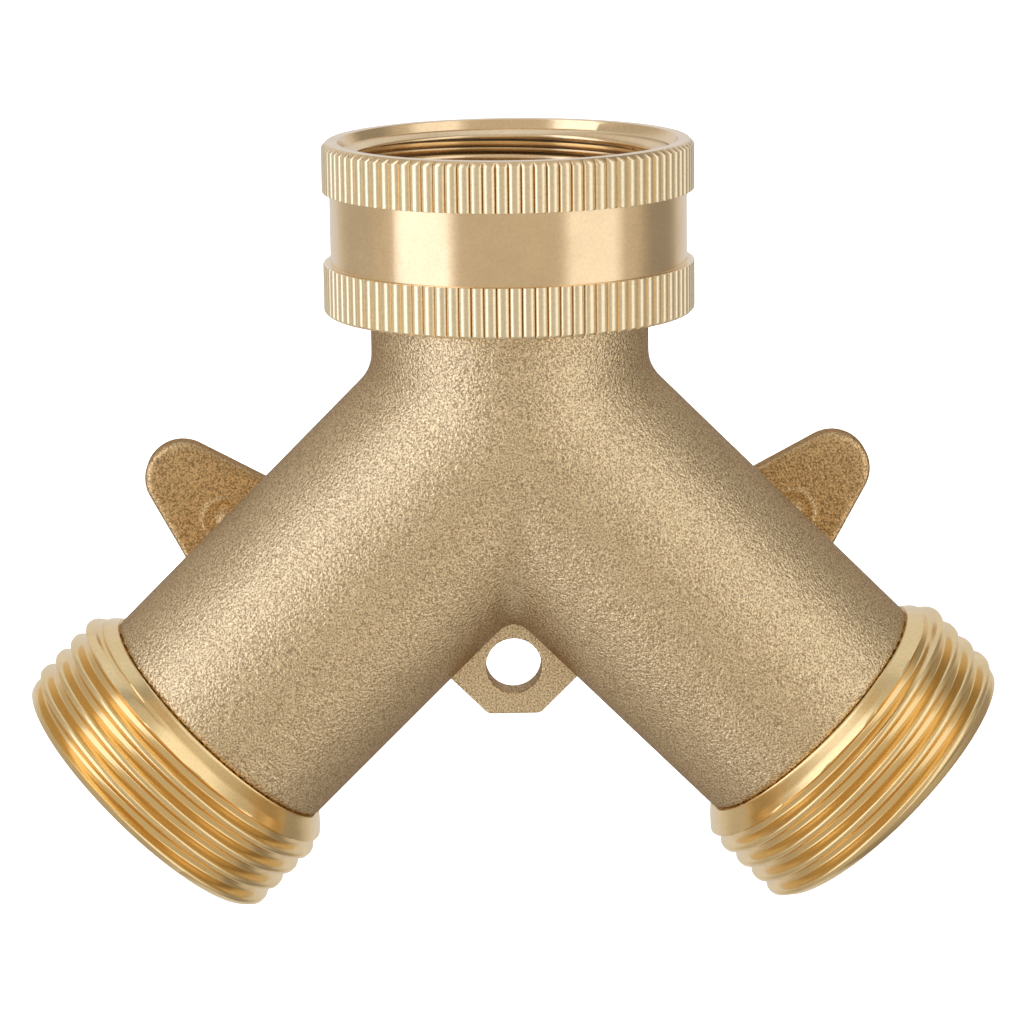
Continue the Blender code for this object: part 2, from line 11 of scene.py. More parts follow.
import bpy
import numpy as np
from bpy.props import FloatProperty, FloatVectorProperty, IntProperty, PointerProperty
from mathutils import Matrix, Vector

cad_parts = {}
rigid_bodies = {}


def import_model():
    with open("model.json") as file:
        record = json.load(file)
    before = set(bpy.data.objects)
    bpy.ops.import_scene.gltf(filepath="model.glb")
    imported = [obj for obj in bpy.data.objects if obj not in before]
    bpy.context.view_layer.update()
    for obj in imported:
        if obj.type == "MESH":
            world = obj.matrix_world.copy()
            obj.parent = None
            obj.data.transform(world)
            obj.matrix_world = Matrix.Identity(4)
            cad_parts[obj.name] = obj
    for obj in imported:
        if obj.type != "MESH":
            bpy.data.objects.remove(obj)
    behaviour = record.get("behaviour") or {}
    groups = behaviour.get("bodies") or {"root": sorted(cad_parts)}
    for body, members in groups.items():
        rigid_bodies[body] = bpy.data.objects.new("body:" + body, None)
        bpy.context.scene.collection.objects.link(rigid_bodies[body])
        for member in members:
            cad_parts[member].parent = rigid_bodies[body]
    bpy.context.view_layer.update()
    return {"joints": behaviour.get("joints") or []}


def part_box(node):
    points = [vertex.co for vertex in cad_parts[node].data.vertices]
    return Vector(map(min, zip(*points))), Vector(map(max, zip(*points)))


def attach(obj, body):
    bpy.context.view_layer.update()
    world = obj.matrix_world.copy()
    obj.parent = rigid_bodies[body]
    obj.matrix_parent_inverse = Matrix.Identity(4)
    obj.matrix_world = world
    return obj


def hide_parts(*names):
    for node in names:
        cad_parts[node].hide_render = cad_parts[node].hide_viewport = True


bl_info = {
    "name": "Hose Splitter",
    "version": (1, 0, 0),
    "blender": (4, 5, 0),
    "location": "View3D > Sidebar > Splitter",
    "description": "Makes a brass Y hose splitter with a swivel nut and two lever valves",
    "category": "Add Mesh",
}

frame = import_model()

# The studio's tones by direction, as the metal reflects them. Places are turns about Z in degrees from
# the camera's side, below zero to the left. Heights are degrees above level.
STUDIO = {
    "walls": (0.60, 0.545, 0.47),
    "left side": (0.52, 0.485, 0.44),
    "right side": (0.33, 0.305, 0.275),
    "backdrop": (0.74, 0.74, 0.76),
    "floor": (0.52, 0.47, 0.41),
    "ceiling": (0.62, 0.60, 0.57),
    "left box": (1.46, 1.50, 1.66),
    "right box": (1.14, 1.12, 1.12),
}
SIDE_PLACES = {"left side": (-132, -95), "right side": (95, 132)}
SIDE_EDGE = 9
BACKDROP_START = 141  # degrees to either side
BACKDROP_EDGE = 12
BOX_PLACES = {"left box": (-78, -38), "right box": (36, 75)}
BOX_HEIGHTS = (-38, 62)
BOX_EDGES = (3.5, 8)  # how softly a box ends sideways, and up and down

MM = 0.001
SIDES = {"left": -1, "right": 1}
HALF = math.sqrt(0.5)  # sine and cosine of the legs' 45 degrees
LUG_SPAN = 12 * MM  # nominal distance of the lug's edge in its section
LUG_ROOT = 0.9 * MM  # how deep the lug's upper edges lie inside the legs
LUG_CORNER_POWER = 48  # higher keeps the lug's corners sharper
RIB_ROUGHNESS = 0.29
EDGE_ON_SHADE_TINT = (0.34, 0.27, 0.25)  # painted shade: blasted brass is darkened where it is seen edge on
RIB_HALF = 0.41  # half a rib's width in pitches, up to where its groove starts
TOOTH_COLUMNS = (-0.5, -0.455, -RIB_HALF, -0.15, 0.15, RIB_HALF, 0.455)  # in pitches from a rib's middle
NUT_THREAD_LOW = 14.7 * MM  # where the nut's thread starts
CRISP_THREAD_LOW = 19.2 * MM  # above this height the nut's thread has closer rows
NUT_RELIEF = 1.2 * MM  # how far the bore widens below its thread
NUT_RELIEF_END = 0.8 * MM  # length of the cone from the relief to the thread
NUT_CREST_RISE = 0.45 * MM  # from the bore's rows out to the female thread's crests
NUT_ROOT_GAP = 0.18 * MM  # between the female thread's roots and the mouth's cone
LEAD_IN_SLOPE = 1.5
TOOTH_SKEW = 0.03 * MM  # unevenness across a rib
TOOTH_DROP = 0.012 * MM  # unevenness from rib to rib
THREAD_DEPTH = 0.95 * MM  # of the outlets' threads
THREAD_STOP = 0.55 * MM  # from the outlet's end to where its thread has faded
# Radius, start and end of each bore in the casting: along the neck, each leg and each stem.
INLET_BORE = (8.8 * MM, 3.1 * MM, 20 * MM)
CHAMBER_BORE = (9.6 * MM, 18.1 * MM, 40 * MM)
FLANGE_BORE = (4.1 * MM, 6 * MM, 10.2 * MM)
STEM_BORE = (3.3 * MM, 6 * MM, 20 * MM)
SHARP_ANGLE = math.radians(48)  # edges that turn more than this are shaded as corners
PLANE_PULL = 0.06  # share of its neighbours' mean in a net point's place
CREASE = 0.965  # a cell whose normals' mean is shorter than this holds a sharp edge
RELAX_TURNS = 3
MATERIALS = {}

# Each valve turns where its stem's axis crosses its leg's axis.
JOINT_PLACES = {joint["name"]: np.array(joint["pos_m"]) for joint in frame["joints"]}
VALVE_CENTRES = {side: JOINT_PLACES[f"{side}_valve_turn"] for side in SIDES}
JUNCTION = np.array([0.0, 0.0, VALVE_CENTRES["left"][2] + abs(VALVE_CENTRES["left"][0])])


def length(name, description, default):
    return FloatProperty(name=name, description=description, default=default, unit="LENGTH", precision=5)


def rotation(name, description, default):
    return FloatProperty(name=name, description=description, default=default, subtype="ANGLE")


def colour(name, description, default):
    return FloatVectorProperty(
        name=name, description=description, default=default, size=3, subtype="COLOR", min=0, max=1
    )


class SplitterCasting(bpy.types.PropertyGroup):
    neck_radius: length("Neck radius", "Outside radius of the inlet neck", 0.01126)
    neck_top: length("Neck top", "Height of the neck's end above the junction", 0.0093)
    leg_radius: length("Leg radius", "Outside radius of each leg", 0.01128)
    leg_length: length("Leg length", "Length of each cast leg from the junction", 0.0345)
    fork_blend: length("Fork blend", "Size of the cast fillet between the legs and the neck", 0.0019)
    boss_radius: length("Boss radius", "Radius of the boss round each stem", 0.0056)
    boss_top: length("Boss top", "Distance of the boss's end from the leg's axis", 0.0149)
    stop_radius: length("Stop radius", "Radius of the raised stop round each boss", 0.0076)
    lug_half_thickness: length("Lug half thickness", "Half the thickness of the hanging lug", 0.00128)
    lug_hole_radius: length("Lug hole radius", "Radius of the lug's hole", 0.00228)
    lug_hole_height: length("Lug hole height", "Height of the lug's hole", -0.02007)
    lug_bottom: length("Lug bottom", "Height of the lug's flat lower edge", -0.02415)
    lug_half_width: length("Lug half width", "Half the width of the lug's lower edge", 0.00215)
    lug_edge: length("Lug edge", "Rounding of the lug's edges", 0.00018)
    waterway_radius: length("Water way radius", "Radius of the water ways", 0.007)
    cell: length("Cell", "Size of the cells that the casting's surface is found on", 0.00042)


class SplitterNut(bpy.types.PropertyGroup):
    top: length("Top", "Height of the nut's mouth above the junction", 0.0233)
    bottom: length("Bottom", "Height of the nut's lower face", 0.0095)
    radius: length("Radius", "Radius over the knurled bands", 0.01504)
    waist_radius: length("Waist radius", "Radius of the smooth band", 0.01441)
    band_height: length("Band height", "Height of each knurled band", 0.004)
    mouth_radius: length("Mouth radius", "Radius of the opening at the top", 0.01373)
    teeth: IntProperty(name="Teeth", description="Number of knurled ribs", default=93)
    groove_depth: length("Groove depth", "Depth of the knurl's grooves", 0.0002)
    crown: length("Crown", "How far each rib falls from its middle to its edges", 0.00013)
    chamfer: length("Chamfer", "Width of the chamfer at the top", 0.00045)
    lower_chamfer: length("Lower chamfer", "Width of the chamfer at the bottom", 0.00025)
    neck_hole: length("Neck hole", "Radius of the hole in the lower face", 0.0099)
    floor: length("Floor", "Thickness of the lower face", 0.0015)
    mouth_depth: length("Mouth depth", "Depth of the cone at the mouth", 0.00075)
    mouth_inner: length("Mouth inner", "Radius of the cone's lower end", 0.0134)
    first_crest: length("First crest", "Height of the female thread's crest on the +X side", 0.02145)


class SplitterThread(bpy.types.PropertyGroup):
    pitch: length("Pitch", "Pitch of both pipe threads", 0.001814)
    crest_radius: length("Crest radius", "Outside radius of the male thread", 0.01322)
    root_radius: length("Root radius", "Radius of the nut's bore before its thread is cut", 0.01206)
    nipple_end: length("Outlet end", "Distance of the outlet's end along the leg", 0.0435)
    collar_radius: length("Collar radius", "Radius where the outlet meets its leg", 0.01145)
    left_crest: length("Left crest", "Distance of a crest along the left leg's far side", 0.03497)
    right_crest: length("Right crest", "Distance of a crest along the right leg's far side", 0.03444)


class SplitterLever(bpy.types.PropertyGroup):
    underside: length("Underside", "Distance of the lever's underside from the leg's axis", 0.0152)
    thickness: length("Thickness", "Thickness of the lever", 0.0028)
    hub_radius: length("Hub radius", "Radius of the lever's hub", 0.00738)
    tip_radius: length("Tip radius", "Radius of the lever's tip", 0.0032)
    reach: length("Reach", "Distance from the hub's centre to the tip's", 0.0145)
    mark_place: length("Mark place", "Distance of the cast ring mark from the hub's centre", 0.0094)
    mark_radius: length("Mark radius", "Radius of the cast ring mark", 0.0018)


class SplitterFinish(bpy.types.PropertyGroup):
    cast: colour("Cast brass", "Blasted casting", (0.92, 0.685, 0.42))
    cast_dark: colour("Cast brass, dark", "Darker patches of the casting", (0.82, 0.60, 0.36))
    lever: colour("Lever brass", "Blasted lever", (0.78, 0.545, 0.275))
    lever_dark: colour("Lever brass, dark", "Darker patches of the levers", (0.66, 0.44, 0.21))
    # Painted shade: this colour darkens the bottoms of the nut's cuts, in the knurl's grooves and in its
    # thread.
    groove: colour("Painted groove shade", "Bottoms of the knurl's grooves", (0.17, 0.12, 0.07))
    # Painted highlight: this colour is paler than the turned brass and brightens the knurl's ribs.
    rib: colour("Rib brass with painted highlight", "Outsides of the knurl's ribs", (1.0, 0.86, 0.59))
    # Painted shade: this colour darkens the roots of the outlets' threads.
    thread_root: colour("Painted thread root shade", "Bottoms of the threads", (0.88, 0.63, 0.29))
    turned: colour("Turned brass", "Machined and polished brass", (0.96, 0.735, 0.455))
    thread: colour("Thread brass", "Machined threads", (0.97, 0.73, 0.375))
    rubber: colour("Rubber", "Washer and seals", (0.035, 0.035, 0.036))
    plastic: colour("Seat plastic", "Valve seats", (0.85, 0.84, 0.80))
    steel: colour("Screw steel", "Screws and washers", (0.62, 0.62, 0.61))
    chrome: colour("Ball chrome", "Plated balls", (0.78, 0.79, 0.80))


class SplitterStage(bpy.types.PropertyGroup):
    distance: length("Distance", "From the camera to the junction", 0.3239)
    azimuth: rotation("Azimuth", "Camera's turn about Z", 0.0181)
    elevation: rotation("Elevation", "Angle that the camera looks down at", 0.2141)
    roll: rotation("Roll", "Camera's roll", -0.0118)
    lens: FloatProperty(name="Lens", description="Focal length in millimetres", default=139.6)
    drop: length("Drop", "How far below the junction the view is centred", 0.00722)
    aside: length("Aside", "How far right of the junction the view is centred", 0.0001)
    floor_depth: length("Floor", "How far the floor lies below the origin", 0.13)


# Arrays and meshes


def smooth_min(a, b, size):
    """The smaller of two distances, with a round blend where they differ by less than size."""
    size = np.maximum(size, 1e-7)
    share = np.clip(0.5 + 0.5 * (b - a) / size, 0, 1)
    return b + (a - b) * share - size * share * (1 - share)


def smooth_max(a, b, size):
    return -smooth_min(-a, -b, size)


def smooth_step(value, low, high):
    """0 below low, 1 above high, and a cubic between them."""
    share = np.clip((value - low) / (high - low), 0, 1)
    return share * share * (3 - 2 * share)


def axes_frame(origin, z_axis, x_axis):
    """(origin, 3 by 3 axes as rows) with local Z and X along the given directions."""
    z_axis = np.array(z_axis, float)
    x_axis = np.array(x_axis, float)
    return np.array(origin, float), np.stack([x_axis, np.cross(z_axis, x_axis), z_axis])


def inlet_frame():
    return axes_frame(JUNCTION, (0, 0, 1), (1, 0, 0))


def leg_frame(side):
    """Local Z outwards along the leg from the junction, local X towards +Y."""
    return axes_frame(JUNCTION, (side * HALF, 0, -HALF), (0, 1, 0))


def stem_frame(word, side):
    """Local Z along the stem from the leg's axis, local X along the closed lever."""
    return axes_frame(VALVE_CENTRES[word], (0, 1, 0), (side * HALF, 0, HALF))


def port_frame(word, side):
    """Local Z along the closed ball's port, local X towards +Y."""
    return axes_frame(VALVE_CENTRES[word], (side * HALF, 0, HALF), (0, 1, 0))


def to_local(points, place):
    origin, axes = place
    return (points - origin) @ axes.T


def to_world(points, place):
    origin, axes = place
    return points @ axes + origin


def make_piece(name, vertices, faces, material, **attributes):
    """A smooth mesh object from whole arrays of faces, turned to point outwards by its enclosed volume.
    Each attribute is one number per vertex for the material to read."""
    volume = 0.0
    for face in faces:
        a = vertices[face[:, 0]]
        for second in range(1, face.shape[1] - 1):
            b = vertices[face[:, second]]
            c = vertices[face[:, second + 1]]
            volume += np.einsum("ij,ij->", a, np.cross(b, c))
    if volume < 0:
        faces = [face[:, ::-1] for face in faces]
    corners = np.concatenate([face.ravel() for face in faces]).astype(np.int32)
    sides = np.concatenate([np.full(len(face), face.shape[1]) for face in faces])
    starts = np.concatenate([[0], np.cumsum(sides)[:-1]]).astype(np.int32)
    mesh = bpy.data.meshes.new(name)
    mesh.vertices.add(len(vertices))
    mesh.vertices.foreach_set("co", vertices.astype(np.float32).ravel())
    mesh.loops.add(len(corners))
    mesh.loops.foreach_set("vertex_index", corners)
    mesh.polygons.add(len(sides))
    mesh.polygons.foreach_set("loop_start", starts)
    mesh.update(calc_edges=True)
    mesh.validate()
    for key, value in attributes.items():
        layer = mesh.attributes.new(key, "FLOAT", "POINT")
        layer.data.foreach_set("value", value.astype(np.float32).ravel())
    mesh.shade_smooth()
    mesh.set_sharp_from_angle(angle=SHARP_ANGLE)
    mesh.materials.append(material)
    piece = bpy.data.objects.new(name, mesh)
    bpy.context.scene.collection.objects.link(piece)
    return piece


def grid_quads(rows, columns, closed):
    """Quads between neighbouring points of a grid that closes round its columns and, if closed, its rows."""
    row = np.arange(rows if closed else rows - 1)[:, None]
    column = np.arange(columns)[None, :]
    next_row = (row + 1) % rows
    next_column = (column + 1) % columns
    corners = [
        row * columns + column,
        row * columns + next_column,
        next_row * columns + next_column,
        next_row * columns + column,
    ]
    return np.stack([np.broadcast_to(corner, (len(row), columns)) for corner in corners], -1).reshape(-1, 4)


def filleted(corners, radius, closed=True, steps=4):
    """A profile with its corners rounded: each becomes a quadratic curve between its tangent points, with a
    close row before and after it that keeps the flat beside it flat in the shading."""
    corners = np.array(corners, float)
    radius = np.broadcast_to(radius, len(corners)).astype(float)
    before = np.roll(corners, 1, axis=0) - corners
    after = np.roll(corners, -1, axis=0) - corners
    before_length = np.linalg.norm(before, axis=1)
    after_length = np.linalg.norm(after, axis=1)
    before = before / before_length[:, None]
    after = after / after_length[:, None]
    turn = np.arccos(np.clip(-(before * after).sum(1), -1, 1))
    shorter = np.minimum(before_length, after_length)
    cut = np.minimum(radius * np.tan(turn / 2), 0.42 * shorter)[:, None]
    support = np.minimum(0.05 * MM, 0.05 * shorter)[:, None]
    first = corners + before * cut
    last = corners + after * cut
    t = np.linspace(0, 1, steps + 1)[None, :, None]
    curve = (1 - t) ** 2 * first[:, None] + 2 * t * (1 - t) * corners[:, None] + t**2 * last[:, None]
    rows = np.concatenate(
        [(first + before * support)[:, None], curve, (last + after * support)[:, None]], axis=1
    )
    if closed:
        return rows.reshape(-1, 2)
    return np.concatenate([corners[:1], rows[1:-1].reshape(-1, 2), corners[-1:]])


def turned_piece(name, profile, place, material, columns=96, closed=True, shape=None):
    """A turned surface: each profile point (radius, height) goes round local Z, through that many equal
    columns or through the given angles. shape, where given, changes the radius as a function of radius,
    height and angle, for knurls and threads. An open profile starts and ends on the axis, where its rows
    close to a point. The lathe attribute runs along the profile, and cut is how far shape went inwards."""
    profile = np.asarray(profile, float)
    along = np.concatenate([[0], np.cumsum(np.linalg.norm(np.diff(profile, axis=0), axis=1))])
    rows = profile if closed else profile[1:-1]
    angle = np.arange(columns) * 2 * math.pi / columns if np.ndim(columns) == 0 else columns
    columns = len(angle)
    height = np.repeat(rows[:, 1:], columns, axis=1)
    radius = np.repeat(rows[:, :1], columns, axis=1)
    cut = np.zeros(radius.shape)
    if shape:
        radius, cut = shape(radius, height, np.broadcast_to(angle, radius.shape))
    local = np.stack([radius * np.cos(angle), radius * np.sin(angle), height], -1).reshape(-1, 3)
    faces = [grid_quads(len(rows), columns, closed)]
    lathe = np.repeat(along if closed else along[1:-1], columns)
    cut = cut.ravel()
    if not closed:
        count = len(local)
        local = np.concatenate([local, [[0, 0, profile[0, 1]], [0, 0, profile[-1, 1]]]])
        lathe = np.concatenate([lathe, [along[0], along[-1]]])
        cut = np.concatenate([cut, [0, 0]])
        near = np.arange(columns)
        far = count - columns + near
        follow = np.roll(near, -1)
        faces.append(np.stack([np.full(columns, count), follow, near], -1))
        faces.append(np.stack([np.full(columns, count + 1), far, count - columns + follow], -1))
    return make_piece(name, to_world(local, place), faces, material, lathe=lathe, cut=cut)


def gradient(distance, points, step):
    """Central differences of a distance along X, Y and Z."""
    shifts = np.eye(3) * step
    return np.stack([distance(points + s) - distance(points - s) for s in shifts], -1) / (2 * step)


def surface_net(field, low, cell, distance):
    """Quads round a field's zero level. Each cell that the level crosses has one point, where the planes
    through its edges' crossings meet best, and each edge that it crosses has one quad joining the four
    cells round it. The last result tells which cells hold a sharp edge, where those planes differ."""
    inside = field < 0
    cells = tuple(size - 1 for size in field.shape)
    owners = []
    places = []
    crossings = []
    for axis in range(3):
        head = np.moveaxis(inside, axis, 0)
        crossing = np.moveaxis(head[1:] != head[:-1], 0, axis)
        index = np.stack(np.nonzero(crossing), -1)
        ahead = index.copy()
        ahead[:, axis] += 1
        here = field[tuple(index.T)]
        there = field[tuple(ahead.T)]
        point = index.astype(float)
        point[:, axis] += here / (here - there)
        others = [other for other in range(3) if other != axis]
        around = []
        for first, second in ((0, 0), (1, 0), (1, 1), (0, 1)):
            owner = index.copy()
            owner[:, others[0]] -= first
            owner[:, others[1]] -= second
            around.append(owner)
        owners.append(np.stack(around))
        places.append(point)
        # The order of the four cells runs the other way round Y, and for an edge that leads inwards.
        flip = (here < 0) != (axis == 1)
        crossings.append((around, flip))
    point = np.concatenate(places)
    normal = gradient(distance, point * cell + low, cell / 20)
    normal /= np.maximum(np.linalg.norm(normal, axis=1), 1e-9)[:, None]
    owner = np.concatenate(owners, axis=1)
    flat = np.ravel_multi_index(tuple(np.moveaxis(owner, -1, 0)), cells)
    used, slot = np.unique(flat, return_inverse=True)
    slot = slot.reshape(flat.shape)
    start = np.stack(np.unravel_index(used, cells), -1).astype(float)
    offset = point[None] - start[slot]
    planes = normal[:, :, None] * normal[:, None, :]
    count = np.bincount(slot.ravel(), minlength=len(used)).astype(float)
    total = np.zeros((len(used), 3))
    facing = np.zeros((len(used), 3))
    left = np.zeros((len(used), 3, 3))
    right = np.zeros((len(used), 3))
    for part in range(4):
        np.add.at(total, slot[part], offset[part])
        np.add.at(facing, slot[part], normal)
        np.add.at(left, slot[part], planes)
        np.add.at(right, slot[part], normal * (normal * offset[part]).sum(1)[:, None])
    mean = total / count[:, None]
    pull = PLANE_PULL * count
    left = left + pull[:, None, None] * np.eye(3)
    best = np.linalg.solve(left, (right + pull[:, None] * mean)[:, :, None])[:, :, 0]
    best = np.clip(best, -0.1, 1.1)
    sharp = np.linalg.norm(facing, axis=1) < CREASE * count
    vertices = (start + best) * cell + low
    number = np.full(cells, -1)
    number.ravel()[used] = np.arange(len(used))
    faces = []
    for around, flip in crossings:
        quad = np.stack([number[tuple(each.T)] for each in around], -1)
        faces.append(np.where(flip[:, None], quad, quad[:, ::-1]))
    return vertices, np.concatenate(faces), sharp


def implicit_piece(name, distance, low, high, cell, material):
    """The surface where distance(points) is zero, sampled on a grid of cells. Away from sharp edges, the
    net's points are moved several times to the mean of their neighbours and back to the surface."""
    low = np.array(low) - 2 * cell
    counts = np.ceil((np.array(high) + 2 * cell - low) / cell).astype(int) + 1
    axis_values = [low[axis] + cell * np.arange(counts[axis]) for axis in range(3)]
    nodes = np.stack(np.meshgrid(*axis_values, indexing="ij"), -1)
    field = distance(nodes.reshape(-1, 3)).reshape(counts)
    vertices, faces, sharp = surface_net(field, low, cell, distance)
    starts = faces.ravel()
    ends = np.roll(faces, -1, axis=1).ravel()
    free = np.nonzero(~sharp)[0]
    for turn in range(RELAX_TURNS + 1):
        for _ in range(2):
            moving = vertices[free]
            slope = gradient(distance, moving, cell / 20)
            reach = distance(moving) / np.maximum((slope**2).sum(1), 0.25)
            vertices[free] = moving - np.clip(reach, -cell / 2, cell / 2)[:, None] * slope
        if turn == RELAX_TURNS:
            break
        total = np.zeros_like(vertices)
        count = np.zeros(len(vertices))
        np.add.at(total, starts, vertices[ends])
        np.add.at(total, ends, vertices[starts])
        np.add.at(count, starts, 1)
        np.add.at(count, ends, 1)
        vertices[free] = (vertices[free] + total[free] / count[free][:, None]) / 2
    return make_piece(name, vertices, [faces], material)


def cylinder_distance(local, radius, low, high, edge=0.0):
    """A round bar about local Z between two heights, with its rims rounded by edge."""
    side = np.hypot(local[:, 0], local[:, 1]) - radius
    ends = np.maximum(low - local[:, 2], local[:, 2] - high)
    return smooth_max(side, ends, edge) if edge else np.maximum(side, ends)


def box_distance(local, half, centre, edge=0.0):
    gaps = np.abs(local - np.array(centre)) - np.array(half)
    joined = smooth_max(gaps[:, 0], gaps[:, 1], edge) if edge else np.maximum(gaps[:, 0], gaps[:, 1])
    return smooth_max(joined, gaps[:, 2], edge) if edge else np.maximum(joined, gaps[:, 2])


def keep(piece, body, slot, *nodes):
    """Hangs the piece on the body that it rides on and hides the CAD nodes it stands for. Its finish, slot,
    is not used.
    """
    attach(piece, body)
    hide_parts(*nodes)


# Materials


class Nodes:
    """Short calls for a material's nodes."""

    def __init__(self, name, roughness, metallic):
        self.material = bpy.data.materials.new(name)
        self.material.use_nodes = True
        self.tree = self.material.node_tree
        self.shader = self.tree.nodes["Principled BSDF"]
        self.shader.inputs["Roughness"].default_value = roughness
        self.shader.inputs["Metallic"].default_value = metallic

    def add(self, kind, settings=(), **inputs):
        node = self.tree.nodes.new(kind)
        for key, value in dict(settings).items():
            setattr(node, key, value)
        for key, value in inputs.items():
            self.feed(node.inputs[key.replace("_", " ")], value)
        return node

    def feed(self, socket, value):
        if isinstance(value, bpy.types.NodeSocket):
            self.tree.links.new(value, socket)
        else:
            socket.default_value = value

    def place(self):
        return self.add("ShaderNodeTexCoord").outputs["Object"]

    def noise(self, vector, scale, detail=3.0, roughness=0.6):
        return self.add(
            "ShaderNodeTexNoise", Vector=vector, Scale=scale, Detail=detail, Roughness=roughness
        ).outputs["Fac"]

    def spread(self, value, low, high, to_low, to_high):
        """A value's range from low to high, clamped, becomes to_low to to_high."""
        node = self.add("ShaderNodeMapRange", Value=value)
        for key, number in zip(("From Min", "From Max", "To Min", "To Max"), (low, high, to_low, to_high)):
            node.inputs[key].default_value = number
        return node.outputs["Result"]

    def larger(self, first, second):
        node = self.add("ShaderNodeMath", settings={"operation": "MAXIMUM"})
        self.feed(node.inputs[0], first)
        self.feed(node.inputs[1], second)
        return node.outputs[0]

    def mix(self, share, first, second):
        node = self.add("ShaderNodeMix", settings={"data_type": "RGBA"})
        self.feed(node.inputs[0], share)
        self.feed(node.inputs[6], (*first, 1) if isinstance(first, tuple) else first)
        self.feed(node.inputs[7], (*second, 1) if isinstance(second, tuple) else second)
        return node.outputs[2]

    def bump(self, height, strength, distance, below=None):
        node = self.add("ShaderNodeBump", Height=height, Strength=strength, Distance=distance)
        if below is not None:
            self.tree.links.new(below, node.inputs["Normal"])
        return node.outputs["Normal"]

    def finish(self, colour_value, roughness=None, normal=None):
        self.feed(self.shader.inputs["Base Color"], colour_value)
        if roughness is not None:
            self.feed(self.shader.inputs["Roughness"], roughness)
        if normal is not None:
            self.feed(self.shader.inputs["Normal"], normal)
        return self.material


def blasted_brass(name, light, dark, relief=1.0):
    """Bead-blasted casting: small dents that sparkle, a fine grain of tone whose pale and dark points are
    painted glints and painted shade, and slow patches.
    """
    nodes = Nodes(name, 0.34, 1.0)
    place = nodes.place()
    dents = nodes.noise(place, 4000, 2.0, 0.55)
    grain = nodes.noise(place, 7000, 2.0, 0.5)
    patches = nodes.noise(place, 110, 4.0, 0.6)
    tone = nodes.mix(nodes.spread(patches, 0.35, 0.68, 0, 1), dark, light)
    # Painted glints and painted shade: pale points brighter than the brass and dark points stand in for the
    # dents' sparkle.
    pale = tuple(min(1.0, 1.12 * value + 0.06) for value in light)
    deep = tuple(0.40 * value for value in dark)
    points = nodes.mix(nodes.spread(grain, 0.39, 0.57, 0.0, 1.0), deep, pale)
    surface = nodes.mix(0.72, tone, points)
    roughness = nodes.spread(grain, 0.35, 0.65, 0.42, 0.28)
    normal = nodes.bump(dents, relief, 0.00012)
    normal = nodes.bump(grain, 0.7 * relief, 0.00003, normal)
    # Painted shade: a dark edge tint darkens the brass where it is seen edge on.
    nodes.feed(nodes.shader.inputs["Specular Tint"], (*EDGE_ON_SHADE_TINT, 1.0))
    return nodes.finish(surface, roughness, normal)


def turned_brass(name, base, roughness, groove, rib):
    """Machined brass: fine tool lines that follow the profile, faint smears of tone, painted shade in the
    cuts, and ribs that are rougher and paler with a painted highlight. The lathe and cut attributes come
    from turned_piece."""
    nodes = Nodes(name, roughness, 1.0)
    along = nodes.add("ShaderNodeAttribute", settings={"attribute_name": "lathe"}).outputs["Fac"]
    cut = nodes.add("ShaderNodeAttribute", settings={"attribute_name": "cut"}).outputs["Fac"]
    lines_place = nodes.add("ShaderNodeCombineXYZ", X=along).outputs["Vector"]
    lines = nodes.noise(lines_place, 9000, 3.0, 0.7)
    place = nodes.place()
    smears = nodes.noise(place, 260, 3.0, 0.6)
    fine = nodes.noise(place, 4200, 2.0, 0.6)
    darker = tuple(0.91 * value for value in base)
    tone = nodes.mix(nodes.spread(smears, 0.35, 0.7, 0, 1), darker, base)
    tone = nodes.mix(nodes.spread(fine, 0.3, 0.6, 0.28, 0.0), tone, tuple(0.7 * value for value in base))
    # Painted shade: where the cut is deep, the groove colour is mixed in.
    tone = nodes.mix(nodes.spread(cut, 0.5, 1.0, 0.0, 0.85), tone, groove)
    # Painted highlight: on the ribs the tone becomes the paler rib colour, with streaks.
    ribbed = nodes.spread(cut, -1.0, -0.4, 1.0, 0.0)
    streaked_rib_highlight = nodes.mix(
        nodes.spread(fine, 0.35, 0.6, 0.0, 1.0), tuple(0.9 * value for value in rib), rib
    )
    tone = nodes.mix(ribbed, tone, streaked_rib_highlight)
    rough = nodes.spread(smears, 0.3, 0.7, roughness * 1.1, roughness * 0.9)
    rough = nodes.larger(rough, nodes.spread(ribbed, 0.0, 1.0, 0.0, RIB_ROUGHNESS))
    normal = nodes.bump(lines, 0.22, 0.00002)
    return nodes.finish(tone, rough, normal)


def plain_finish(name, base, roughness, metallic, scale, strength):
    """A moulded, plated or drawn surface: one fine noise in its tone, roughness and relief."""
    nodes = Nodes(name, roughness, metallic)
    noise = nodes.noise(nodes.place(), scale, 4.0, 0.65)
    darker = tuple(0.8 * value for value in base)
    tone = nodes.mix(nodes.spread(noise, 0.3, 0.7, 0, 1), darker, base)
    rough = nodes.spread(noise, 0.3, 0.7, roughness * 0.85, roughness * 1.15)
    return nodes.finish(tone, rough, nodes.bump(noise, strength, 0.00004))


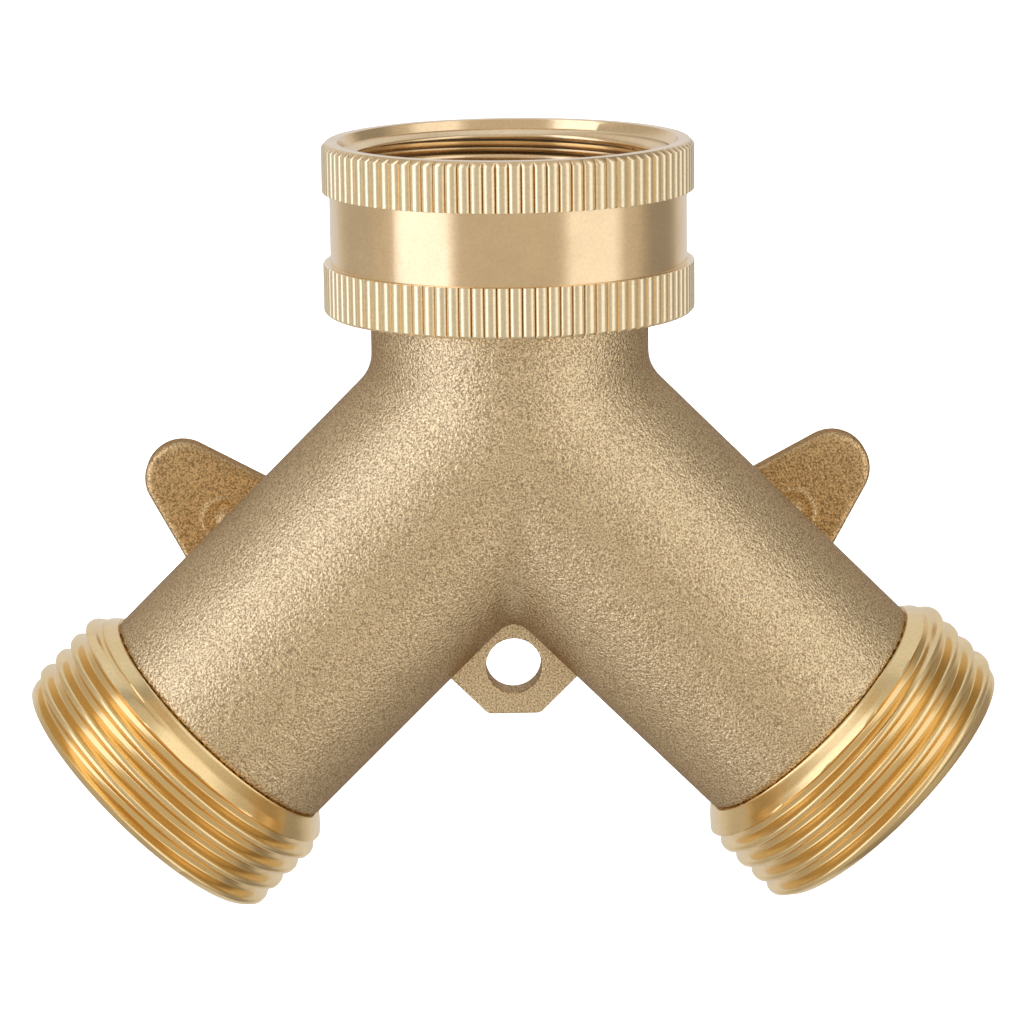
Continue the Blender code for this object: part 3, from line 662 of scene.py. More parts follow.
def make_materials(finish):
    value = {key: tuple(getattr(finish, key)) for key in finish.__annotations__}
    return {
        "cast": blasted_brass("blasted brass casting", value["cast"], value["cast_dark"]),
        "lever": blasted_brass("blasted brass lever", value["lever"], value["lever_dark"], 0.6),
        # The groove and thread root colours are painted shade for the bottoms of the cuts.
        "turned": turned_brass("turned brass", value["turned"], 0.17, value["groove"], value["rib"]),
        "thread": turned_brass("threaded brass", value["thread"], 0.2, value["thread_root"], value["rib"]),
        "drawn": plain_finish("drawn brass", value["turned"], 0.22, 1.0, 1400, 0.15),
        "rubber": plain_finish("moulded rubber", value["rubber"], 0.6, 0.0, 900, 0.3),
        "plastic": plain_finish("turned seat plastic", value["plastic"], 0.42, 0.0, 700, 0.15),
        "steel": plain_finish("zinc-plated steel", value["steel"], 0.28, 1.0, 1400, 0.2),
        "chrome": plain_finish("chromed ball", value["chrome"], 0.08, 1.0, 500, 0.03),
    }


# Shapes


def half_line(points, direction):
    """(distance from a ray that leaves the junction, outward unit normal) of each point."""
    local = points - JUNCTION
    reach = np.maximum(local @ direction, 0)[:, None]
    away = local - reach * direction
    distance = np.linalg.norm(away, axis=1)
    return distance, away / np.maximum(distance, 1e-9)[:, None]


def casting_distance(points, size):
    """The casting: three round arms from the junction, blended by the angle between their surfaces so that
    only real corners get a fillet, then bosses and stops, less the water ways and stem holes."""
    arms = [(np.array([0.0, 0.0, 1.0]), size.neck_radius)]
    arms += [(np.array([side * HALF, 0.0, -HALF]), size.leg_radius) for side in SIDES.values()]
    solid = None
    for direction, radius in arms:
        distance, normal = half_line(points, direction)
        distance = distance - radius
        if solid is None:
            solid, solid_normal = distance, normal
            continue
        corner = np.sqrt(np.clip(1 - (normal * solid_normal).sum(1), 0, 1))
        nearer = (distance < solid)[:, None]
        solid_normal = np.where(nearer, normal, solid_normal)
        solid = smooth_min(solid, distance, size.fork_blend * corner)
    up = to_local(points, inlet_frame())
    solid = smooth_max(solid, up[:, 2] - size.neck_top, 0.4 * MM)
    hollow = cylinder_distance(up, *INLET_BORE)
    hollow = np.minimum(hollow, cylinder_distance(up, size.waterway_radius, 0, 4 * MM))
    for word, side in SIDES.items():
        along = to_local(points, leg_frame(side))
        stem = to_local(points, stem_frame(word, side))
        boss = cylinder_distance(stem, size.boss_radius, 6.5 * MM, size.boss_top, 0.4 * MM)
        solid = smooth_min(solid, boss, 1.2 * MM)
        solid = smooth_min(solid, stop_distance(stem, side, size), 0.8 * MM)
        solid = smooth_max(solid, along[:, 2] - size.leg_length, 0.4 * MM)
        hollow = np.minimum(hollow, cylinder_distance(along, size.waterway_radius, 0, 20 * MM))
        hollow = np.minimum(hollow, cylinder_distance(along, *CHAMBER_BORE))
        hollow = np.minimum(hollow, cylinder_distance(stem, *FLANGE_BORE))
        hollow = np.minimum(hollow, cylinder_distance(stem, *STEM_BORE))
    return smooth_max(solid, -hollow, 0.3 * MM)


def lug_profile(size):
    """The lug's section from its hole to its edge, as (distance out, height) with rounded corners. The
    distance is nominal: beyond the middle it is counted back from LUG_SPAN."""
    half = size.lug_half_thickness
    hole = size.lug_hole_radius
    corners = [(hole, -half), (LUG_SPAN, -half), (LUG_SPAN, half), (hole, half)]
    return filleted(corners, size.lug_edge)


def lug_outline(size):
    """The lug's radius by angle round its hole: a flat lower edge, two sloping sides, and two upper edges
    that lie inside the legs. The five straight lines join by a high power mean, which rounds the corners."""
    below = size.lug_hole_height - size.lug_bottom
    side = (below + size.lug_half_width) * HALF
    inside_leg = LUG_ROOT - size.lug_hole_height * HALF - size.leg_radius
    edges = [(0, -1, below)]
    edges += [(way * HALF, -HALF, side) for way in (-1, 1)]
    edges += [(way * HALF, HALF, inside_leg) for way in (-1, 1)]

    def shape(radius, height, angle):
        across = np.cos(angle)
        upward = -np.sin(angle)
        total = np.zeros(angle.shape)
        for right, up, reach in edges:
            total += np.maximum((across * right + upward * up) / reach, 0) ** LUG_CORNER_POWER
        outline = total ** (-1 / LUG_CORNER_POWER)
        changed = np.where(radius > LUG_SPAN / 2, outline - (LUG_SPAN - radius), radius)
        return changed, np.zeros(radius.shape)

    return shape


def stop_distance(stem, side, size):
    """A raised ring round the boss with a wedge left open, in which the lever's tab swings."""
    middle = math.pi + side * math.radians(45)
    forward = stem[:, 0] * math.cos(middle) + stem[:, 1] * math.sin(middle)
    across = np.abs(stem[:, 1] * math.cos(middle) - stem[:, 0] * math.sin(middle))
    half_angle = math.radians(67)
    wedge = across * math.cos(half_angle) - forward * math.sin(half_angle)
    ring = cylinder_distance(stem, size.stop_radius, 8 * MM, size.boss_top, 0.4 * MM)
    return smooth_max(ring, -wedge, 0.3 * MM)


def lever_distance(local, size):
    """A teardrop plate: a hub circle and a tip circle joined by their tangents. It has a stop tab under the
    hub, a cast ring with a pip under the lever, a shallow panel on top and a hole with two flats."""
    x, y, z = local[:, 0], np.abs(local[:, 1]), local[:, 2]
    lean = (size.hub_radius - size.tip_radius) / size.reach
    rise = math.sqrt(1 - lean * lean)
    along = x * rise - y * lean
    hub = np.hypot(x, y) - size.hub_radius
    tip = np.hypot(x - size.reach, y) - size.tip_radius
    flank = x * lean + y * rise - size.hub_radius
    outline = np.where(along < 0, hub, np.where(along > size.reach * rise, tip, flank))
    bottom = size.underside
    top = bottom + size.thickness
    middle = np.abs(z - (bottom + top) / 2) - size.thickness / 2
    panel_edge = np.maximum(outline + 1.3 * MM, 5.3 * MM - np.hypot(x, y))
    panel = 0.35 * MM * smooth_step(-panel_edge, -0.15 * MM, 0.35 * MM) * (z > (bottom + top) / 2)
    mark = np.hypot(x - size.mark_place, y)
    ring = np.exp(-(((mark - size.mark_radius) / (0.22 * MM)) ** 2))
    pip = np.exp(-((mark / (0.5 * MM)) ** 2))
    relief = (0.12 * MM * ring + 0.30 * MM * pip) * (z < (bottom + top) / 2)
    plate = smooth_max(outline, middle + panel - relief, 0.7 * MM)
    radial = np.hypot(x, local[:, 1])
    tab_side = y * math.cos(math.radians(20)) + x * math.sin(math.radians(20))
    tab = smooth_max(np.abs(radial - 6.48 * MM) - 0.52 * MM, tab_side, 0.3 * MM)
    tab = smooth_max(tab, np.maximum(12.6 * MM - z, z - top + 0.5 * MM), 0.3 * MM)
    plate = smooth_min(plate, tab, 0.3 * MM)
    hole = smooth_max(radial - 3.1 * MM, y - 2.2 * MM, 0.1 * MM)
    return smooth_max(plate, -hole, 0.2 * MM)


def stem_distance(local):
    """Turned stem with its flange, seal groove, tang and flats, and the screw's hole in its end."""
    radial = np.hypot(local[:, 0], local[:, 1])
    z = local[:, 2]
    bar = cylinder_distance(local, 3.0 * MM, 8.2 * MM, 17.8 * MM, 0.3 * MM)
    groove = smooth_max(2.0 * MM - radial, np.abs(z - 12.4 * MM) - 0.7 * MM, 0.1 * MM)
    bar = smooth_max(bar, -groove, 0.1 * MM)
    flats = np.minimum(np.abs(local[:, 1]) - 2.0 * MM, 3 * MM)
    bar = smooth_max(bar, np.where(z > 14.95 * MM, flats, np.minimum(flats, 14.95 * MM - z)), 0.1 * MM)
    flange = cylinder_distance(local, 3.8 * MM, 8.0 * MM, 9.3 * MM, 0.3 * MM)
    tang = box_distance(local, (0.75 * MM, 2.2 * MM, 1.25 * MM), (0, 0, 7.25 * MM), 0.2 * MM)
    solid = np.minimum(smooth_min(bar, flange, 0.2 * MM), tang)
    hole = cylinder_distance(local, 1.4 * MM, 13.8 * MM, 20 * MM)
    return smooth_max(solid, -hole, 0.15 * MM)


def screw_distance(local):
    """Pan head screw with a cross recess whose arms narrow as they go down."""
    radial = np.hypot(local[:, 0], local[:, 1])
    z = local[:, 2]
    dome = np.sqrt(radial**2 + (z - 16.6 * MM) ** 2) - 4.15 * MM
    head = smooth_max(cylinder_distance(local, 2.7 * MM, 19.0 * MM, 21 * MM), dome, 0.4 * MM)
    shank = cylinder_distance(local, 1.2 * MM, 14.1 * MM, 19.5 * MM, 0.2 * MM)
    solid = np.minimum(head, shank)
    taper = (20.8 * MM - z) * 0.35
    x, y = np.abs(local[:, 0]), np.abs(local[:, 1])
    first = np.maximum(x - 1.5 * MM + taper, y - 0.33 * MM)
    second = np.maximum(y - 1.5 * MM + taper, x - 0.33 * MM)
    recess = np.maximum(np.minimum(first, second), 19.6 * MM - z)
    return smooth_max(solid, -recess, 0.12 * MM)


def ball_distance(local):
    """Ball with its port along local Z and the tang's slot across its +X side."""
    ball = np.linalg.norm(local, axis=1) - 7.5 * MM
    port = np.hypot(local[:, 0], local[:, 1]) - 4.75 * MM
    slot = box_distance(local, (1.3 * MM, 9 * MM, 1.0 * MM), (7.0 * MM, 0, 0))
    return smooth_max(smooth_max(ball, -port, 0.4 * MM), -slot, 0.2 * MM)


def box_of(node):
    low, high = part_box(node)
    return np.array(low), np.array(high)


# Operators


class SPLITTER_OT_casting(bpy.types.Operator):
    """Y body with its bosses, stops and hanging lug"""

    bl_idname = "splitter.casting"
    bl_label = "Y body"

    def execute(self, context):
        scene = context.scene
        size = scene.splitter_casting
        low, high = box_of("y_body")
        piece = implicit_piece(
            "y_body_casting",
            lambda points: casting_distance(points, size),
            low,
            high,
            size.cell,
            MATERIALS["cast"],
        )
        keep(piece, "splitter", "cast_brass", "y_body")
        centre = JUNCTION + np.array([0, 0, size.lug_hole_height])
        place = axes_frame(centre, (0, 1, 0), (1, 0, 0))
        lug = turned_piece(
            "hanging_lug", lug_profile(size), place, MATERIALS["cast"], 256, shape=lug_outline(size)
        )
        keep(lug, "splitter", "cast_brass", "y_body")
        return {"FINISHED"}


class SPLITTER_OT_nut(bpy.types.Operator):
    """Swivel nut with two knurled bands and a female pipe thread"""

    bl_idname = "splitter.nut"
    bl_label = "Swivel nut"

    def execute(self, context):
        size = context.scene.splitter_nut
        thread = context.scene.splitter_thread
        teeth = np.arange(size.teeth)[:, None] + np.array(TOOTH_COLUMNS)
        piece = turned_piece(
            "swivel_nut_knurled",
            self.profile(size, thread),
            inlet_frame(),
            MATERIALS["turned"],
            teeth.ravel() * 2 * math.pi / size.teeth,
            shape=nut_shape(size, thread),
        )
        keep(piece, "inlet_nut", "turned_brass", "swivel_nut")
        return {"FINISHED"}

    def profile(self, size, thread):
        """The nut's section, in two rounded stretches that meet where the knurl's grooves start, with even
        rows down the thread, closer in its upper part."""
        relief = thread.root_radius + NUT_RELIEF
        thread_high = size.top - size.mouth_depth
        band_low = size.top - size.band_height
        band_high = size.bottom + size.band_height
        start = size.groove_depth + size.crown
        groove_start = (size.radius - start, size.top - size.chamfer + start)
        upper = [
            (size.mouth_inner, thread_high),
            (size.mouth_radius, size.top),
            (size.radius - size.chamfer, size.top),
            groove_start,
        ]
        lower = [
            groove_start,
            (size.radius, size.top - size.chamfer),
            (size.radius, band_low),
            (size.waist_radius, band_low),
            (size.waist_radius, band_high),
            (size.radius, band_high),
            (size.radius, size.bottom + size.lower_chamfer),
            (size.radius - size.lower_chamfer, size.bottom),
            (size.neck_hole, size.bottom),
            (size.neck_hole, size.bottom + size.floor),
            (relief, size.bottom + size.floor),
            (relief, NUT_THREAD_LOW - NUT_RELIEF_END),
            (thread.root_radius, NUT_THREAD_LOW),
        ]
        upper_rows = filleted(upper, 0.08 * MM, closed=False, steps=2)
        lower_rows = filleted(lower, 0.09 * MM, closed=False, steps=2)[1:]
        deep = np.linspace(NUT_THREAD_LOW, CRISP_THREAD_LOW, 24)[1:]
        crisp = np.linspace(CRISP_THREAD_LOW, thread_high, 38)[1:-1]
        heights = np.concatenate([deep, crisp])
        thread_rows = np.stack([np.full(len(heights), thread.root_radius), heights], -1)
        return np.concatenate([upper_rows, lower_rows, thread_rows])


def scatter(number):
    """Irregular values from -1 to 1, the same for the same whole numbers."""
    value = np.sin(number * 12.9898) * 43758.5453
    return (value - np.floor(value) - 0.5) * 2


def nut_shape(size, thread):
    """The nut's radius and depth of cut: crowned ribs with narrow grooves between them outside, and a
    female thread inside whose crests stop short of the mouth. The cut is -1 on a rib, 0 on a smooth part
    and 1 at the bottom of a groove."""
    uneven = scatter(np.arange(size.teeth))
    thread_high = size.top - size.mouth_depth
    crest_radius = thread.root_radius + NUT_CREST_RISE
    depth = size.mouth_inner - NUT_ROOT_GAP - crest_radius
    start = size.groove_depth + size.crown

    def shape(radius, height, angle):
        # Half a tooth is added, and a hair more so that a column on a tooth's edge belongs to that tooth.
        tooth = angle * size.teeth / (2 * math.pi) + 0.5
        whole = np.floor(tooth + 1e-6)
        which = whole.astype(int) % size.teeth
        place = tooth - whole - 0.5
        groove = np.clip((np.abs(place) - RIB_HALF) / (0.5 - RIB_HALF), 0, 1)
        fall = size.crown * np.minimum(np.abs(place) / RIB_HALF, 1) ** 1.4
        rib = size.radius - fall - size.groove_depth * groove
        rib = rib + TOOTH_SKEW * uneven[which] * place - TOOTH_DROP * np.abs(uneven[which])
        outside = np.minimum(radius, rib)
        turn = (height - size.first_crest) / thread.pitch - angle / (2 * math.pi)
        away = np.abs(turn - np.round(turn))
        fade = smooth_step(height, NUT_THREAD_LOW, NUT_THREAD_LOW + thread.pitch)
        bore = crest_radius + depth * smooth_step(away, 0.08, 0.5) * fade
        lead_in = crest_radius + depth - LEAD_IN_SLOPE * (thread_high - height)
        bore = np.maximum(bore, lead_in)
        in_thread = (height > NUT_THREAD_LOW) & (height < thread_high)
        is_bore = in_thread & (radius < thread.root_radius + 1e-7)
        banded = (radius > size.radius - start) & (height > size.bottom)
        # Painted shade: the cut below sets how far the groove colour darkens the thread's roots and the
        # knurl's grooves.
        thread_cut = 0.7 * (bore - crest_radius) / depth
        cut = np.where(is_bore, thread_cut, np.where(banded, 2 * groove - 1, 0))
        return np.where(is_bore, bore, outside), cut

    return shape


class SPLITTER_OT_inlet(bpy.types.Operator):
    """Tailpiece that holds the nut on, its seal and the inlet washer"""

    bl_idname = "splitter.inlet"
    bl_label = "Inlet pieces"

    def execute(self, context):
        tail = [
            (6.8, 3.4), (8.5, 3.4), (8.5, 5.45), (7.6, 5.45), (7.6, 6.85), (8.5, 6.85),
            (8.5, 9.45), (9.6, 9.45), (9.6, 11.45), (11.7, 11.45), (11.7, 12.8), (6.8, 12.8),
        ]
        piece = turned_piece(
            "inlet_tailpiece_turned",
            filleted(np.array(tail) * MM, 0.15 * MM),
            inlet_frame(),
            MATERIALS["turned"],
        )
        keep(piece, "splitter", "turned_brass", "inlet_tailpiece")
        seal = turned_piece(
            "tailpiece_seal_ring", ring_profile(8.18, 0.5, 6.15), inlet_frame(), MATERIALS["rubber"]
        )
        keep(seal, "splitter", "seal_rubber", "tailpiece_seal")
        washer = [
            (7.2, 13.1), (11.8, 13.1), (11.8, 15.7), (10.6, 15.7), (10.4, 15.55),
            (8.6, 15.55), (8.4, 15.7), (7.2, 15.7),
        ]
        rubber = turned_piece(
            "inlet_washer_moulded",
            filleted(np.array(washer) * MM, 0.25 * MM),
            inlet_frame(),
            MATERIALS["rubber"],
        )
        keep(rubber, "splitter", "washer_rubber", "inlet_washer")
        return {"FINISHED"}


def ring_profile(radius, section, place):
    """A seal ring's round section, in millimetres."""
    angle = np.linspace(0, 2 * math.pi, 20, endpoint=False)
    return np.stack([radius + section * np.cos(angle), place + section * np.sin(angle)], -1) * MM


class SPLITTER_OT_outlets(bpy.types.Operator):
    """Outlet nipples with their male pipe threads and seals"""

    bl_idname = "splitter.outlets"
    bl_label = "Outlet nipples"

    def execute(self, context):
        thread = context.scene.splitter_thread
        start = context.scene.splitter_casting.leg_length
        profile = self.profile(thread, start)
        crests = {"left": thread.left_crest, "right": thread.right_crest}
        for word, side in SIDES.items():
            shape = outlet_shape(thread, start, crests[word])
            piece = turned_piece(
                f"{word}_outlet_threaded", profile, leg_frame(side), MATERIALS["thread"], 288, shape=shape
            )
            keep(piece, "splitter", "turned_brass", f"{word}_outlet_nipple")
            seal = turned_piece(
                f"{word}_nipple_seal_ring",
                ring_profile(8.85, 0.6, 33.3),
                leg_frame(side),
                MATERIALS["rubber"],
            )
            keep(seal, "splitter", "seal_rubber", f"{word}_nipple_seal")
        return {"FINISHED"}


    def profile(self, thread, start):
        """The outlet's section. Its face has a shallow recess that the end of the leg stands in."""
        crest = thread.crest_radius
        thread_high = thread.nipple_end - THREAD_STOP
        inside = [
            (crest, thread_high),
            (crest - 0.55 * MM, thread.nipple_end),
            (9.0 * MM, thread.nipple_end),
            (8.5 * MM, thread.nipple_end - 0.5 * MM),
            (8.5 * MM, 37.5 * MM),
            (6.9 * MM, 36.5 * MM),
            (6.9 * MM, 31.9 * MM),
            (9.3 * MM, 31.9 * MM),
            (9.3 * MM, 32.55 * MM),
            (8.1 * MM, 32.55 * MM),
            (8.1 * MM, 34.05 * MM),
            (9.3 * MM, 34.05 * MM),
            (9.3 * MM, start - 0.02 * MM),
            (thread.collar_radius, start - 0.02 * MM),
        ]
        shell = filleted(inside, 0.06 * MM, closed=False, steps=3)
        places = np.linspace(start, thread_high, 92)[:-1]
        rows = np.stack([np.full(len(places), crest), places], -1)
        return np.concatenate([shell, rows])


def outlet_shape(thread, start, first_crest):
    """The outlet's radius and depth of cut: a collar that widens from the leg, and a helix with narrow
    crests and flat roots that fades in over the collar and partly out at the outlet's end."""
    crest = thread.crest_radius
    thread_high = thread.nipple_end - THREAD_STOP

    def shape(radius, height, angle):
        turn = (height - first_crest) / thread.pitch - angle / (2 * math.pi)
        away = np.abs(turn - np.round(turn))
        fade = smooth_step(height, start + 0.3 * MM, start + 0.9 * MM)
        fade = fade * (1 - 0.6 * smooth_step(height, thread_high - 0.5 * MM, thread_high))
        deep = smooth_step(away, 0.07, 0.38) * fade
        collar = np.interp(
            height,
            [start, start + 0.12 * MM, start + 0.8 * MM, start + 1.8 * MM],
            [thread.collar_radius, thread.collar_radius + 0.1 * MM, 12.3 * MM, crest],
        )
        is_outside = (radius > crest - 1e-7) & (height >= start)
        outside = np.minimum(collar, crest - THREAD_DEPTH * deep)
        # Painted shade: the cut sets how far the thread root colour darkens the thread's roots.
        return np.where(is_outside, outside, radius), np.where(is_outside, deep, 0)

    return shape


class SPLITTER_OT_valves(bpy.types.Operator):
    """Balls, seats, stems and their seals"""

    bl_idname = "splitter.valves"
    bl_label = "Valves"

    def execute(self, context):
        for word, side in SIDES.items():
            body = f"{word}_valve"
            centre = VALVE_CENTRES[word]
            place = port_frame(word, side)
            reach = np.full(3, 7.6 * MM)
            ball = implicit_piece(
                f"{word}_ball_chromed",
                lambda points: ball_distance(to_local(points, place)),
                centre - reach,
                centre + reach,
                0.3 * MM,
                MATERIALS["chrome"],
            )
            keep(ball, body, "ball_chrome", f"{word}_ball")
            along = stem_frame(word, side)
            low, high = box_of(f"{word}_stem")
            stem = implicit_piece(
                f"{word}_stem_turned",
                lambda points: stem_distance(to_local(points, along)),
                low,
                high,
                0.17 * MM,
                MATERIALS["drawn"],
            )
            keep(stem, body, "turned_brass", f"{word}_stem")
            self.rings(word, side, along)
        return {"FINISHED"}

    def rings(self, word, side, along):
        """The two seats, each hollowed to the ball's curve, and the stem's washer and seal."""
        sphere = 7.75
        angle = np.linspace(math.asin(4.3 / sphere), math.acos(4.9 / sphere), 8)
        cup = np.stack([np.cos(angle), np.sin(angle)], -1) * sphere
        back = filleted([(4.9, cup[-1, 1]), (4.9, 6.6), (9.3, 6.6), (9.3, 4.3), tuple(cup[0])], 0.15, False)
        ring = np.concatenate([cup, back[1:-1]])
        for name, way in (("inner", -1), ("outer", 1)):
            profile = np.stack([ring[:, 0], 25.0 + way * ring[:, 1]], -1) * MM
            seat = turned_piece(f"{word}_{name}_seat_ring", profile, leg_frame(side), MATERIALS["plastic"])
            keep(seat, "splitter", "seat_plastic", f"{word}_{name}_seat")
        washer = filleted(np.array([(3.2, 9.5), (3.8, 9.5), (3.8, 10.0), (3.2, 10.0)]) * MM, 0.08 * MM)
        piece = turned_piece(f"{word}_stem_washer_ring", washer, along, MATERIALS["plastic"], 64)
        keep(piece, "splitter", "seat_plastic", f"{word}_stem_washer")
        seal = turned_piece(
            f"{word}_stem_seal_ring", ring_profile(2.52, 0.52, 12.4), along, MATERIALS["rubber"], 64
        )
        keep(seal, "splitter", "seal_rubber", f"{word}_stem_seal")


class SPLITTER_OT_levers(bpy.types.Operator):
    """Lever handles with their washers and screws"""

    bl_idname = "splitter.levers"
    bl_label = "Levers"

    def execute(self, context):
        size = context.scene.splitter_lever
        for word, side in SIDES.items():
            body = f"{word}_valve"
            along = stem_frame(word, side)
            low, high = box_of(f"{word}_handle")
            lever = implicit_piece(
                f"{word}_lever",
                lambda points: lever_distance(to_local(points, along), size),
                low,
                high,
                0.2 * MM,
                MATERIALS["lever"],
            )
            keep(lever, body, "lever_brass", f"{word}_handle")
            washer = filleted(np.array([(1.6, 18.1), (3.7, 18.1), (3.7, 18.8), (1.6, 18.8)]) * MM, 0.15 * MM)
            piece = turned_piece(f"{word}_lever_washer", washer, along, MATERIALS["steel"])
            keep(piece, body, "screw_steel", f"{word}_handle_washer")
            low, high = box_of(f"{word}_handle_screw")
            screw = implicit_piece(
                f"{word}_lever_screw",
                lambda points: screw_distance(to_local(points, along)),
                low,
                high,
                0.13 * MM,
                MATERIALS["steel"],
            )
            keep(screw, body, "screw_steel", f"{word}_handle_screw")
        return {"FINISHED"}


class SPLITTER_OT_stage(bpy.types.Operator):
    """Pale floor, soft lights and the camera"""

    bl_idname = "splitter.stage"
    bl_label = "Stage"

    def execute(self, context):
        stage = context.scene.splitter_stage
        self.floor(stage)
        self.world(context.scene)
        self.lights()
        self.camera(context.scene, stage)
        return {"FINISHED"}

    def floor(self, stage):
        """A sweep: a flat floor that curves up into a wall behind, as one strip carried along X."""
        bend = np.linspace(0, math.pi / 2, 24)
        radius = 0.5
        depth = np.concatenate([[-1.5], 0.7 + radius * np.sin(bend), [0.7 + radius]])
        height = np.concatenate([[0], radius * (1 - np.cos(bend)), [2.2]]) - stage.floor_depth
        rows = np.stack([np.stack([np.full(len(depth), x), depth, height], -1) for x in (-2.5, 2.5)])
        count = len(depth)
        near = np.arange(count - 1)
        faces = [np.stack([near, near + 1, near + 1 + count, near + count], -1)]
        nodes = Nodes("pale floor", 0.9, 0.0)
        soft = nodes.noise(nodes.place(), 3.0, 2.0, 0.5)
        tone = nodes.mix(nodes.spread(soft, 0.3, 0.7, 0, 1), (0.86, 0.86, 0.86), (0.88, 0.88, 0.88))
        material = nodes.finish(tone)
        sweep = make_piece("floor_sweep", rows.reshape(-1, 3), faces, material)
        sweep.visible_glossy = False

    def world(self, scene):
        """Studio walls as a function of direction: a mid tone in front, a tall soft box on either side of
        the camera, darker walls at the sides and a pale backdrop behind."""
        world = bpy.data.worlds.new("studio")
        scene.world = world
        world.use_nodes = True
        tree = world.node_tree
        background = tree.nodes["Background"]

        def math_node(operation, *values):
            node = tree.nodes.new("ShaderNodeMath")
            node.operation = operation
            for socket, value in zip(node.inputs, values):
                if isinstance(value, bpy.types.NodeSocket):
                    tree.links.new(value, socket)
                else:
                    socket.default_value = value
            return node.outputs[0]

        def ramp(value, low, high):
            node = tree.nodes.new("ShaderNodeMapRange")
            node.interpolation_type = "SMOOTHSTEP"
            tree.links.new(value, node.inputs["Value"])
            node.inputs["From Min"].default_value = low
            node.inputs["From Max"].default_value = high
            return node.outputs["Result"]

        def window(value, low, high, edge):
            """1 between low and high, falling to 0 over edge on both sides."""
            rise = ramp(value, low - edge, low + edge)
            fall = ramp(value, high + edge, high - edge)
            return math_node("MULTIPLY", rise, fall)

        place = tree.nodes.new("ShaderNodeTexCoord")
        split = tree.nodes.new("ShaderNodeSeparateXYZ")
        tree.links.new(place.outputs["Generated"], split.inputs[0])
        x, y, z = split.outputs
        forward = math_node("MULTIPLY", y, -1.0)
        turn = math_node("MULTIPLY", math_node("ARCTAN2", x, forward), 180 / math.pi)
        aside = math_node("ABSOLUTE", turn)
        height = math_node("MULTIPLY", math_node("ARCSINE", z), 180 / math.pi)
        total = None
        colour_total = tree.nodes.new("ShaderNodeCombineColor")
        for channel, base in enumerate(STUDIO["walls"]):
            total = math_node("MULTIPLY", base, 1.0)
            shares = [(key, window(turn, *span, SIDE_EDGE)) for key, span in SIDE_PLACES.items()]
            shares.append(("backdrop", window(aside, BACKDROP_START, 999, BACKDROP_EDGE)))
            shares.append(("floor", ramp(height, -15, -75)))
            shares.append(("ceiling", ramp(height, 40, 80)))
            for key, span in BOX_PLACES.items():
                across = window(turn, *span, BOX_EDGES[0])
                upward = window(height, *BOX_HEIGHTS, BOX_EDGES[1])
                shares.append((key, math_node("MULTIPLY", across, upward)))
            for key, share in shares:
                extra = math_node("MULTIPLY", share, STUDIO[key][channel] - base)
                total = math_node("ADD", total, extra)
            tree.links.new(math_node("MAXIMUM", total, 0.0), colour_total.inputs[channel])
        tree.links.new(colour_total.outputs[0], background.inputs["Color"])
        background.inputs["Strength"].default_value = 1.0

    def lights(self):
        """A wide panel overhead that lights the floor, and isn't seen in the metal."""
        light = bpy.data.lights.new("floor panel", "AREA")
        light.shape = "RECTANGLE"
        light.size, light.size_y = 2.4, 2.4
        light.energy = 62.0
        lamp = bpy.data.objects.new("floor_panel", light)
        lamp.location = (0, 0.3, 1.6)
        lamp.visible_glossy = False
        bpy.context.scene.collection.objects.link(lamp)

    def camera(self, scene, stage):
        """Looks level along +Y, turned by the azimuth, tipped down by the elevation and then rolled."""
        level, tip = stage.azimuth, stage.elevation
        forward = np.array(
            [math.sin(level) * math.cos(tip), math.cos(level) * math.cos(tip), -math.sin(tip)]
        )
        right = np.array([math.cos(level), -math.sin(level), 0.0])
        up = np.cross(right, forward)
        right, up = (
            math.cos(stage.roll) * right + math.sin(stage.roll) * up,
            math.cos(stage.roll) * up - math.sin(stage.roll) * right,
        )
        place = JUNCTION - forward * stage.distance - up * stage.drop + right * stage.aside
        data = bpy.data.cameras.new("camera")
        data.lens = stage.lens
        data.sensor_width = 36.0
        data.clip_start = 0.01
        camera = bpy.data.objects.new("camera", data)
        camera.matrix_world = turned_matrix(right, up, -forward, place)
        scene.collection.objects.link(camera)
        scene.camera = camera
        scene.view_settings.view_transform = "Standard"


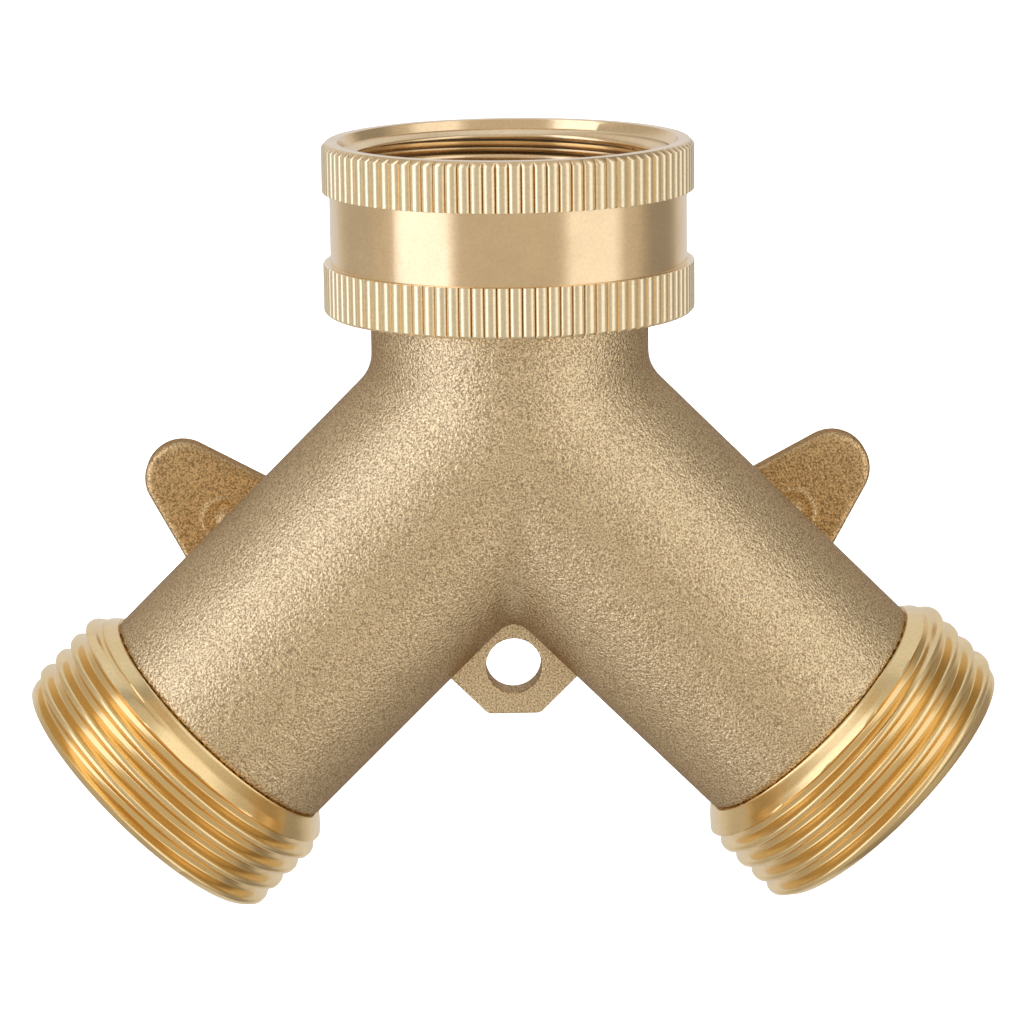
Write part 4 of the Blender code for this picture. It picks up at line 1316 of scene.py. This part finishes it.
def turned_matrix(x_axis, y_axis, z_axis, place):
    """A 4 by 4 matrix with the given axes as columns."""
    matrix = np.eye(4)
    matrix[:3, 0] = x_axis
    matrix[:3, 1] = y_axis
    matrix[:3, 2] = z_axis
    matrix[:3, 3] = place
    return Matrix(matrix.tolist())


class SPLITTER_PT_panel(bpy.types.Panel):
    """Lists the splitter's pieces"""

    bl_idname = "SPLITTER_PT_panel"
    bl_label = "Hose Splitter"
    bl_space_type = "VIEW_3D"
    bl_region_type = "UI"
    bl_category = "Splitter"

    def draw(self, context):
        for operator in OPERATORS:
            self.layout.operator(operator.bl_idname)
        for name in GROUPS:
            group = getattr(context.scene, name)
            box = self.layout.box()
            box.label(text=name.replace("_", " "))
            for key in group.__annotations__:
                box.prop(group, key)


OPERATORS = (
    SPLITTER_OT_casting,
    SPLITTER_OT_nut,
    SPLITTER_OT_inlet,
    SPLITTER_OT_outlets,
    SPLITTER_OT_valves,
    SPLITTER_OT_levers,
    SPLITTER_OT_stage,
)
GROUPS = {
    "splitter_casting": SplitterCasting,
    "splitter_nut": SplitterNut,
    "splitter_thread": SplitterThread,
    "splitter_lever": SplitterLever,
    "splitter_finish": SplitterFinish,
    "splitter_stage": SplitterStage,
}


def register():
    for name, group in GROUPS.items():
        bpy.utils.register_class(group)
        setattr(bpy.types.Scene, name, PointerProperty(type=group))
    for item in OPERATORS + (SPLITTER_PT_panel,):
        bpy.utils.register_class(item)


def unregister():
    for item in reversed(OPERATORS + (SPLITTER_PT_panel,)):
        bpy.utils.unregister_class(item)
    for name, group in reversed(GROUPS.items()):
        delattr(bpy.types.Scene, name)
        bpy.utils.unregister_class(group)


def main():
    register()
    for obj in [o for o in bpy.data.objects if o.name in ("Cube", "Light", "Camera")]:
        bpy.data.objects.remove(obj)
    MATERIALS.update(make_materials(bpy.context.scene.splitter_finish))
    bpy.ops.splitter.casting()
    bpy.ops.splitter.nut()
    bpy.ops.splitter.inlet()
    bpy.ops.splitter.outlets()
    bpy.ops.splitter.valves()
    bpy.ops.splitter.levers()
    bpy.ops.splitter.stage()


if __name__ == "__main__":
    main()
